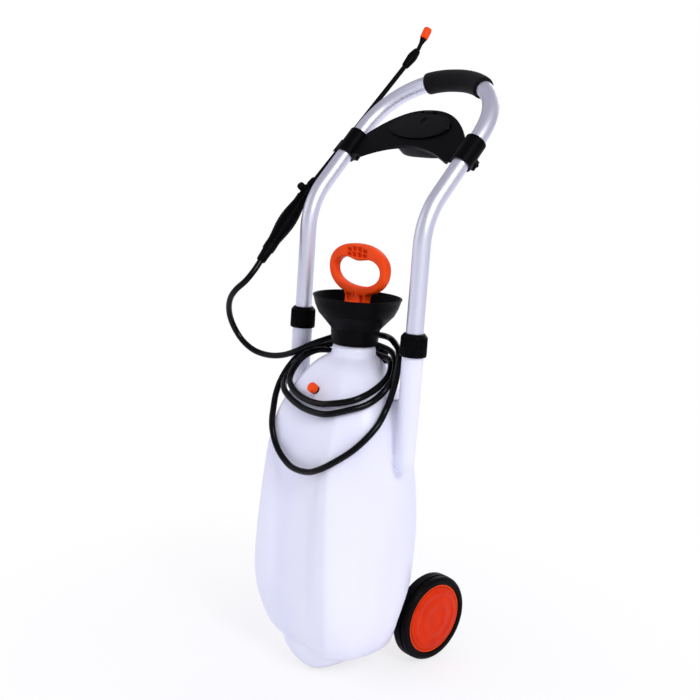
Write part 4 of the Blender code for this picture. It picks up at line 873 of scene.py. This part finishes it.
def trayEdge(middle, drop, reach, power, least):  # bowed edge that levels out at the clamps
    half, count = legSpacing / 2 - 0.004, trayShape["edgeSteps"]
    points = []
    for k in range(count + 1):
        x = -half + 2 * half * k / count
        points.append((x, max(middle - drop * (abs(x) / reach) ** power, least)))
    return points


def slopeAxis(side):
    return frameAt(slopeStart + legOffset(side), slope)


def splitRing(inner, outer, half, steps):
    points = []
    for radius, way in ((outer, 1), (inner, -1)):
        start = math.asin(half / radius)
        turn = [math.pi / 2 + start + 2 * (math.pi - start) * k / steps for k in range(steps + 1)]
        points += [(radius * math.cos(a), radius * math.sin(a)) for a in turn[::way]]
    return points


def trayPlate():
    lowEdge = trayEdge(0.085, 0.03, 0.1, 2, trayShape["clampLow"] + 0.001)
    highEdge = trayEdge(0.1575, 0.057, 0.105, 2.3, trayShape["clampHigh"] - 0.006)
    plate = prism("tray", lowEdge + highEdge[::-1], 0.0, trayShape["top"], blackPlastic, trayFrame)
    lower = [p for p in lowEdge if abs(p[0]) < 0.094]
    lip = lower + [(x, y + 0.003) for x, y in lower[::-1]]
    rim = prism("trayRim", lip, -0.004, 0.0025, blackPlastic, trayFrame)
    well = oval(0.055, 0.021, 64, 2.2, (0, trayShape["lidY"]))
    hole = prism("trayHole", well, -0.03, 0.02, blackPlastic, trayFrame)
    seats = [rod("seat", 0.0148, 0.047, 0.117, blackPlastic, slopeAxis(side)) for side in (-1, 1)]
    combine(plate, [rim])
    combine(plate, [hole] + seats, "DIFFERENCE")
    clamps = []
    ring = splitRing(trayShape["clampBore"], trayShape["clampRadius"], trayShape["slit"], 56)
    low, high = trayShape["clampLow"], trayShape["clampHigh"]
    for side in (-1, 1):
        axis = slopeAxis(side)
        clamps.append(prism("clamp", ring, low, high, blackPlastic, axis))
        for flank in (-1, 1):
            near, far = sorted((flank * trayShape["slit"], flank * trayShape["earEnd"]))
            clamps.append(block("ear", (near, 0.0142, 0.069), (far, 0.023, 0.085), blackPlastic, axis))
    for x in (-0.0135, 0.0095):
        corner, opposite = (x, 0.1489, 0.0015), (x + 0.004, 0.1525, 0.0075)
        clamps.append(block("hingeEar", corner, opposite, blackPlastic, trayFrame))
    combine(plate, clamps)
    return soften(plate, 0.0007, 40)


settle(trayPlate(), "handle", ["tray"])
screwSkin = metres([(0, -7.6), (1.7, -7.6), (1.7, 6.3), (3.4, 6.3), (3.6, 6.6), (3.6, 7.8), (3.3, 8.6),
                    (2.6, 9.2), (1.8, 9.2), (1.5, 8), (0, 7.8)])
for side, word in bothSides:
    spot = slopeStart + legOffset(side) + slope * trayShape["screwUp"] - face * trayShape["screwBack"]
    turned(f"clampScrew_{word}", screwSkin, "handle", f"clamp_screw_{word}",
           frameAt(spot, (side, 0, 0), (0, 0, 1)), 32, slot="dark_steel")

binLevels = (  # height, share of the outline, growth along x and y, squareness: outside, lip, then inside
    (-0.0343, 0.9, 0, 0, 3.8), (-0.0339, 0.93, 0, 0, 3.8), (-0.0325, 0.955, 0, 0, 3.8),
    (-0.0258, 0.98, 0, 0, 3.6), (-0.012, 1, 0, 0, 3.2), (-0.0025, 1, 0, 0, 2.8),
    (-0.0025, 1, 0.0036, 0.0026, 2.8), (-0.0021, 1, 0.004, 0.003, 2.8), (-0.0007, 1, 0.004, 0.003, 2.8),
    (-0.0003, 1, 0.0036, 0.0026, 2.8),
    (-0.0003, 1, -0.002, -0.002, 2.8), (-0.0258, 0.96, -0.002, -0.002, 2.8),
    (-0.0318, 0.9, -0.002, -0.002, 2.8),
)
binRings = []
for z, share, growX, growY, power in binLevels:
    outline = oval(trayShape["binHalfX"] * share + growX, trayShape["binHalfY"] * share + growY, 72, power,
                   (0, trayShape["binY"]))
    binRings.append(atHeight(outline, z))
settle(loft("trayBin", binRings, blackPlastic, trayFrame), "handle", ["tray_bin"])


def trayLid():
    levels = ((0.0038, 0.985), (0.0041, 1.0), (0.0056, 1.0), (0.0062, 0.992), (0.0064, 0.975),
              (0.00635, 0.955), (0.0059, 0.945), (0.0059, 0.925), (0.00635, 0.915), (0.0066, 0.6),
              (0.0067, 0.3))
    rings = []
    for z, share in levels:
        halfY = trayShape["lidHalfY"] * share - 0.0015 * (1 - share)
        rings.append(atHeight(oval(trayShape["lidHalfX"] * share, halfY, 96, 2.1, (0, trayShape["lidY"])), z))
    lid = loft("trayLid", rings, blackGloss, trayFrame, 50)
    hinge = frameAt(trayFrame @ Vector((0, 0.1507, 0.0057)), (1, 0, 0), face)
    knuckle = rod("lidKnuckle", 0.0017, -0.009, 0.009, blackGloss, hinge, 24)
    tab = block("lidTab", (-0.009, 0.1447, 0.0038), (0.009, 0.1507, 0.006), blackGloss, trayFrame)
    combine(lid, [knuckle, tab])
    scoop = metres([(0, 4.4), (3, 4.5), (5.6, 5.1), (7, 6), (8, 7), (8.4, 9), (0, 9)])
    finger = lathe("finger", scoop, blackGloss, trayFrame @ Matrix.Translation((0.005, 0.133, 0)), 48)
    combine(lid, [finger], "DIFFERENCE")
    lid.data.set_sharp_from_angle(angle=math.radians(14))
    return lid


settle(trayLid(), "lid", ["tray_lid"])
print("tray, bin and lid made")


# funnel, pump guide and pump handle, heights from the floor

funnelShape = {"corner": 0.0016, "steps": 96}
funnelSkin = [(30.4, 508.5), (34.6, 508.5), (36.8, 532), (47.9, 544.5), (56.6, 554), (62.2, 565.8),
              (65.2, 576.5), (66.7, 578.7), (66.3, 580), (64, 580), (59.4, 566.5), (54, 556.4),
              (46, 547.4), (35, 541.3), (21.6, 541.3), (21.6, 538.3), (30.4, 538.3)]
turned("funnel", softProfile(metres(funnelSkin), funnelShape["corner"]), "cart", "funnel",
       steps=funnelShape["steps"])
guideSkin = [(5.5, 475), (12.5, 475), (17.9, 481), (17.9, 544.5), (24.5, 544.5), (24.5, 547.2), (16.5, 548.2),
             (15, 557.5), (15, 564.3), (13.8, 565.5), (5.5, 565.5)]
turned("pumpGuide", softProfile(metres(guideSkin), 0.0006), "pump_body", "pump_guide")

handShape = {
    "half": 0.06, "top": 0.6575, "low": 0.582, "holeHalf": 0.0485, "holeTop": 0.64, "holeLow": 0.595,
    "power": 2.15, "swell": 0.0075, "swellReach": 0.02, "depth": 0.015, "bead": 0.0032, "points": 96,
    "foot": 0.566, "slots": 4, "slotWidth": 0.009, "slotPitch": 0.011, "slotFrom": -0.021,
}
ringFrame = frameAt((0, 0, 0), (0, -1, 0))


def egg(angle, half, top, low):
    power = handShape["power"]
    c, s = math.cos(angle), math.sin(angle)
    middle = low + 0.53 * (top - low)
    height = (top - middle) if s > 0 else (middle - low)
    x = half * math.copysign(abs(c) ** (2 / power), c)
    return x, middle + height * math.copysign(abs(s) ** (2 / power), s)


def swellAt(x):  # the palm rest swells in the middle
    return handShape["swell"] * math.exp(-(x / handShape["swellReach"]) ** 2)


def holePoint(angle):
    x, y = egg(angle, handShape["holeHalf"], handShape["holeTop"], handShape["holeLow"])
    return x, y - swellAt(x) * min(1.0, max(0.0, (y - 0.61) / 0.012))


def pumpRing():
    half, bead, count = handShape["depth"] / 2, handShape["bead"], handShape["points"]
    outside = [Vector(egg(a, handShape["half"], handShape["top"], handShape["low"])) for a in turns(count)]
    inside = [Vector(holePoint(a)) for a in turns(count)]
    skins = []
    for line, way in ((outside, -1), (inside, 1)):
        edges = [line[(i + 1) % count] - line[i - 1] for i in range(count)]
        normals = [Vector((edge.y, -edge.x)).normalized() * way for edge in edges]
        layers = []
        for k in range(13):
            a = math.pi * (k / 12 - 0.5)
            z = bead * math.sin(a) + (math.copysign(half - bead, a) if a else 0)
            draw = bead * (1 - math.cos(a))
            layers.append([(p.x + n.x * draw, p.y + n.y * draw, z) for p, n in zip(line, normals)])
        skins.append(layers)
    return loft("pumpHandle", skins[0] + skins[1][::-1], orangePlastic, ringFrame, closed=True)


def handleHollows():  # sunk panels of the stem and slots of the palm rest, from both faces
    hollows = []
    for front in (-1, 1):
        low, high = sorted((front * 0.0028, front * 0.02))
        for side in (-1, 1):
            left, right = sorted((side * 0.0105, side * 0.018))
            hollows.append(block("panel", (left, handShape["foot"] + 0.0062, low), (right, 0.583, high),
                                 orangePlastic, ringFrame))
        low, high = sorted((front * 0.003, front * 0.02))
        for k in range(handShape["slots"]):
            x = handShape["slotFrom"] + handShape["slotPitch"] * k
            middle = x + handShape["slotWidth"] / 2
            bow = (abs(middle) / 0.03) ** 2
            roof = handShape["top"] - 0.0105 * bow - 0.0042
            sill = 0.644 - 0.8 * swellAt(middle) - 0.007 * bow
            split = (roof + sill) / 2
            for lowY, highY in ((sill, split - 0.0009), (split + 0.0009, roof)):
                if highY - lowY > 0.0016:
                    hollows.append(block("slot", (x, lowY, low), (x + handShape["slotWidth"], highY, high),
                                         orangePlastic, ringFrame))
    return hollows


def pumpHandle():
    piece = pumpRing()
    foot = handShape["foot"]
    right = [(0.0225, foot), (0.0225, foot + 0.003), (0.02, foot + 0.0048), (0.02, 0.578), (0.0222, 0.584),
             (0.029, 0.59)]
    outline = right + [(-x, y) for x, y in reversed(right)]
    stem = soften(prism("stem", outline, -0.0072, 0.0072, orangePlastic, ringFrame), 0.0008, 40)
    hub = lathe("hub", [(0, foot), (0.0148, foot), (0.0148, foot + 0.004), (0.009, foot + 0.008),
                        (0.0085, foot + 0.0235), (0, foot + 0.0235)], orangePlastic)
    combine(piece, [stem, hub])
    combine(piece, handleHollows(), "DIFFERENCE")
    bore = rod("bore", 0.0053, foot - 0.01, foot + 0.0213, orangePlastic)
    pinDrill = drill((0, 0, foot + 0.014), (0, 1, 0), (1, 0, 0), 0.0018, orangePlastic)
    return combine(piece, [bore, pinDrill], "DIFFERENCE")


settle(pumpHandle(), "pump", ["pump_handle"])
print("funnel and pump handle made")


# relief valve and outlet, each in the frame of its own axis

knobSkin = [(2, 3.6), (6.4, 3.6), (7.4, 4.8), (7.4, 12.1), (6.2, 13.6), (0, 13.7), (0, 11.1), (2, 11.1)]
fluted("reliefKnob", softProfile(metres(knobSkin), 0.0007), "relief", "relief_knob", reliefFrame,
       (6, 0.0082, 0.0016, 0.005), slot="orange_plastic")
seatSkin = [(2.1, -13), (5.2, -13), (5.2, 1.1), (6.6, 1.1), (6.8, 1.3), (6.8, 2.2), (6.4, 2.6), (4.6, 3),
            (2.2, 3), (2.2, 1.2), (4.1, 1.2), (4.1, -11.5), (2.1, -11.5)]
turned("reliefBody", metres(seatSkin), "cart", "relief_body", reliefFrame)
springShape = {"wire": 0.00032, "radius": 0.0028, "turns": 3, "steps": 24, "sides": 8, "low": -0.0073,
               "high": 0.0005, "travel": 0.003}


def reliefSpring():  # wound from one wire
    wire, radius, low, high = (springShape[key] for key in ("wire", "radius", "low", "high"))
    count = springShape["turns"] * springShape["steps"]
    way = []
    for k in range(count + 1):
        a = 2 * math.pi * k / springShape["steps"]
        spot = (radius * math.cos(a), radius * math.sin(a), low + (high - low) * k / count)
        way.append(reliefFrame @ Vector(spot))
    spring = settle(sweep("reliefSpring", way, wire, springShape["sides"], steelZinc), "cart",
                    ["relief_spring"])
    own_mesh(spring)


reliefSpring()
elbowSkin = [(5.6, 455), (6.1, 455), (6.1, 476), (10.5, 476), (10.5, 478.8), (8.2, 479.4), (8.2, 493),
             (6, 495), (0, 495.2)]
elbowInside = [(0, 465), (5.6, 465)]
spoutFrame = frameAt((0, outletY, spoutZ), (-1, 0, 0), (0, 0, 1))
elbowPiece = lathe("outletElbow", softProfile(metres(elbowSkin), 0.0008) + metres(elbowInside), blackPlastic,
                   outletFrame, 48)
combine(elbowPiece, [rod("spout", 0.0055, 0, 0.015, blackPlastic, spoutFrame, 48)])
settle(elbowPiece, "cart", ["outlet_elbow"])
outletSkin = [(5.8, 11), (8.7, 11), (9, 11.3), (9.2, 12.2), (8.4, 23), (7.9, 24), (7, 24.5), (0, 24.5),
              (0, 15.3), (5.8, 15.3)]
fluted("outletNut", metres(outletSkin), "cart", "outlet_nut", spoutFrame, (12, 0.01, 0.0014, 0.013))
print("relief valve and outlet made")


# wheels, with outlines in millimetres: radius, then distance from the middle of the axle

wheelShape = {"steps": 128, "spokes": 6, "spokeHalf": 0.0011}
tyreSkin = [(55.9, 70.8), (59.8, 68), (64, 66.8), (66.8, 69), (68.6, 71.2), (69, 72.8), (69, 84.3),
            (67, 84.8), (67, 86.8), (68.6, 87.6), (68.4, 90.5), (67.4, 92.8), (66, 94.6), (63.5, 96),
            (61.2, 96.2), (60.8, 95.7), (60, 95.7), (59.6, 96.4), (58, 96.2), (56.6, 95.2), (55.9, 93.8)]
hubSkin = [(5.16, 62.8), (12, 62.8), (12, 87.1), (51.6, 88.1), (51.6, 71), (55.6, 71), (55.6, 93.2),
           (55.2, 93.6), (53.4, 93.6), (53.1, 93.3), (53.1, 90.6), (11, 88.6), (5.16, 88.6)]
capSkin = [(52, 90.9), (52.7, 91.7), (52.7, 93.8), (52.3, 94.4), (50, 95), (44, 95.35), (43.2, 95.8),
           (42, 95.9), (41.2, 95.5), (30, 95.7), (29, 96.1), (24, 96.25), (18, 96.3), (17.2, 96),
           (12, 96.2), (0, 96.4), (0, 92.6), (49, 92)]
for side, word in bothSides:
    place = frameAt((0, wheelY, wheelRadius), (side, 0, 0), (0, 0, 1))
    body, thick, fine = f"wheel_{word}", wheelShape["spokeHalf"], wheelShape["steps"]
    turned(f"tyre_{word}", metres(tyreSkin), body, f"tyre_{word}", place, fine, 24, "tyre_rubber")
    spokes = []
    for k in range(wheelShape["spokes"]):
        spin = Matrix.Rotation(2 * math.pi * (k + 0.5) / wheelShape["spokes"], 4, "Z")
        inner, outer = (0.01, -thick, 0.074), (0.053, thick, 0.0876)
        spokes.append(block("spoke", inner, outer, orangePlastic, place @ spin))
    hub = lathe(f"hub_{word}", metres(hubSkin), orangePlastic, place, 96)
    settle(combine(hub, spokes), body, [f"hub_{word}"])
    turned(f"wheelCap_{word}", metres(capSkin), body, f"wheel_cap_{word}", place, fine, 60, "orange_gloss")
print("wheels made")


# trigger grip, lever and fittings, along the grip's axis from the hose's end

gripFrame = frameAt(gripEnd, gripAxis)
gripShape = {"ribs": 24, "from": 0.04, "to": 0.127, "thin": 0.01, "belly": 0.004, "groove": 0.0012,
             "pivot": (0, 0.0125, 0.137), "pinBore": 0.0017, "leverHalf": 0.0028}
hoseNutSkin = [(5.35, 0), (6.2, 0), (6.6, 0.4), (7.2, 1.5), (8.2, 20), (9.6, 21.5), (9.8, 34), (9.6, 35.2),
               (9, 36), (5.6, 36), (5.6, 15), (5.35, 14)]
fluted("hoseNut", metres(hoseNutSkin), "handle", "hose_nut", gripFrame, (16, 0.0104, 0.0011, 0.0225))


def pivotDrill():
    spot = gripFrame @ Vector(gripShape["pivot"])
    return drill(spot, (1, 0, 0), gripAxis, gripShape["pinBore"], blackPlastic)


def gripPiece():
    spindle = metres([(0, 18), (4.8, 18), (4.8, 36.3), (9.2, 36.3), (9.8, 37), (9.8, 39.2)])
    pitch = (gripShape["to"] - gripShape["from"]) / gripShape["ribs"]
    for k in range(gripShape["ribs"]):
        z = gripShape["from"] + pitch * k
        share = (k + 0.5) / gripShape["ribs"]
        radius = gripShape["thin"] + gripShape["belly"] * math.sin(math.pi * min(1.0, share * 1.15)) ** 1.3
        low = radius - gripShape["groove"]
        spindle += [(low, z), (low, z + 0.25 * pitch), (radius - 0.0002, z + 0.38 * pitch),
                    (radius, z + 0.5 * pitch), (radius, z + 0.75 * pitch),
                    (radius - 0.0002, z + 0.88 * pitch)]
    spindle += metres([(8.5, 127), (8.7, 129), (8.7, 143), (8.2, 144.8), (7, 146), (0, 146)])
    grip = lathe("gripBody", spindle, blackPlastic, gripFrame, 64, 24)
    cheeks = [block("cheek", (x, 0.0, 0.132), (x + 0.0024, 0.016, 0.142), blackPlastic, gripFrame)
              for x in (-0.0056, 0.0032)]
    combine(grip, cheeks)
    return combine(grip, [pivotDrill()], "DIFFERENCE")


def leverPiece():  # outline of (away from the grip, along it), from the pivot
    outer = metres([(0, 3.4), (-9, 1), (-18, -7), (-22, -20), (-22.8, -42), (-25, -48)])
    inner = metres([(-23.2, -49.2), (-20, -44), (-18.6, -21), (-14, -11), (-7, -4.8), (0.8, -3.6)])
    eye = metres([(2.6, -1.8), (3, 0), (2.2, 2.2)])
    line = softProfile(outer, 0.006, 5) + softProfile(inner, 0.005, 5) + eye
    upright = Matrix(((0, 0, 1, 0), (1, 0, 0, 0), (0, 1, 0, 0), (0, 0, 0, 1)))
    place = gripFrame @ Matrix.Translation(gripShape["pivot"]) @ upright
    half = gripShape["leverHalf"]
    lever = prism("triggerLever", [(-y, z) for y, z in line], -half, half, blackPlastic, place)
    return combine(soften(lever, 0.0006, 50), [pivotDrill()], "DIFFERENCE")


settle(gripPiece(), "handle", ["grip_body"])
settle(leverPiece(), "trigger", ["trigger_lever"])
capFrame = frameAt(gripFrame @ Vector((0, -0.007, 0.136)), gripFrame.to_3x3() @ Vector((0, -1, 0)))
valveSkin = [(0, 1.8), (4.2, 1.8), (4.2, 3), (5.8, 3), (6, 4), (6, 9), (5.6, 10.2), (4.8, 11), (0, 11.1)]
fluted("valveCap", metres(valveSkin), "handle", "valve_cap", capFrame, (10, 0.0067, 0.0011, 0.0045))


# lance, knuckle, nozzle and clip

lanceAxis = (lanceHigh - lanceLow).normalized()
lanceFrame = frameAt(lanceLow, lanceAxis)
lanceLength = (lanceHigh - lanceLow).length
lanceShape = {"bore": 0.0032, "radius": 0.004, "from": 0.0035, "past": 0.006, "toNozzle": 0.0403, "bend": 30,
              "clipUp": 0.082, "clipHalf": 0.012}
lanceNutSkin = [(4.3, 4.5), (7, 4.5), (7.3, 5), (7.4, 6), (6.6, 16), (6, 17.8), (5.2, 19), (4.3, 19)]
fluted("lanceNut", metres(lanceNutSkin), "handle", "lance_nut", lanceFrame, (10, 0.0083, 0.0012, 0.0065))
tubeEnd = lanceLength + lanceShape["past"]
turned("lanceTube", [(lanceShape["bore"], lanceShape["from"]), (lanceShape["radius"], lanceShape["from"]),
                     (lanceShape["radius"], tubeEnd), (lanceShape["bore"], tubeEnd)],
       "handle", "lance_tube", lanceFrame, 40, slot="black_tube")
knuckleSkin = metres([(4.3, 0), (5.8, 0), (6.4, 4), (7.3, 12), (8.2, 21), (8, 25), (6, 37), (4, 40),
                      (0, 40), (0, 6.3), (4.3, 6.3)])
knuckleOutline = softProfile([(r, z + lanceLength) for r, z in knuckleSkin], 0.001)
turned("knuckle", knuckleOutline, "handle", "knuckle", lanceFrame, 48)
nozzleFrame = frameAt(lanceLow + lanceAxis * (lanceLength + lanceShape["toNozzle"]),
                      (0, 0.5, math.cos(math.radians(lanceShape["bend"]))))
stemSkin = [(0, 0.8), (3, 0.8), (3.4, 1.2), (3.4, 12), (5.2, 19.8), (5.2, 21.5), (3.8, 21.5), (3.8, 35.8),
            (3.6, 36), (0, 36)]
turned("nozzleStem", metres(stemSkin), "handle", "nozzle_stem", nozzleFrame, 40)
nozzleSkin = [(4.3, 22), (6.2, 22), (6.8, 23.5), (7, 39.6), (6.7, 40.8), (6, 41.8), (1.4, 41.8), (1.2, 41.6),
              (1.2, 39.2), (4.3, 38.5)]
fluted("nozzleCap", metres(nozzleSkin), "nozzle", "nozzle_cap", nozzleFrame, (6, 0.0078, 0.0015, 0.0245),
       slot="orange_plastic")


def lanceClip():
    middle = slopeStart + slope * lanceShape["clipUp"]
    at = lanceLow + lanceAxis * ((middle - lanceLow).dot(lanceAxis))
    place = frameAt((laneX, at.y, at.z), lanceAxis, lanceAxis.cross(Vector((1, 0, 0))))
    half = lanceShape["clipHalf"]
    clip = prism("lanceClip", splitRing(0.0043, 0.0068, 0.003, 40), -half, half, blackPlastic, place)
    armOut = -legSpacing / 2 - trayShape["clampRadius"] - 0.0003 - laneX
    combine(clip, [block("arm", (-0.004, -armOut, -0.01), (0.004, -0.0056, 0.01), blackPlastic, place)])
    return soften(clip, 0.0005, 40)


settle(lanceClip(), "handle", ["lance_clip"])
print("grip, lance and nozzle made")
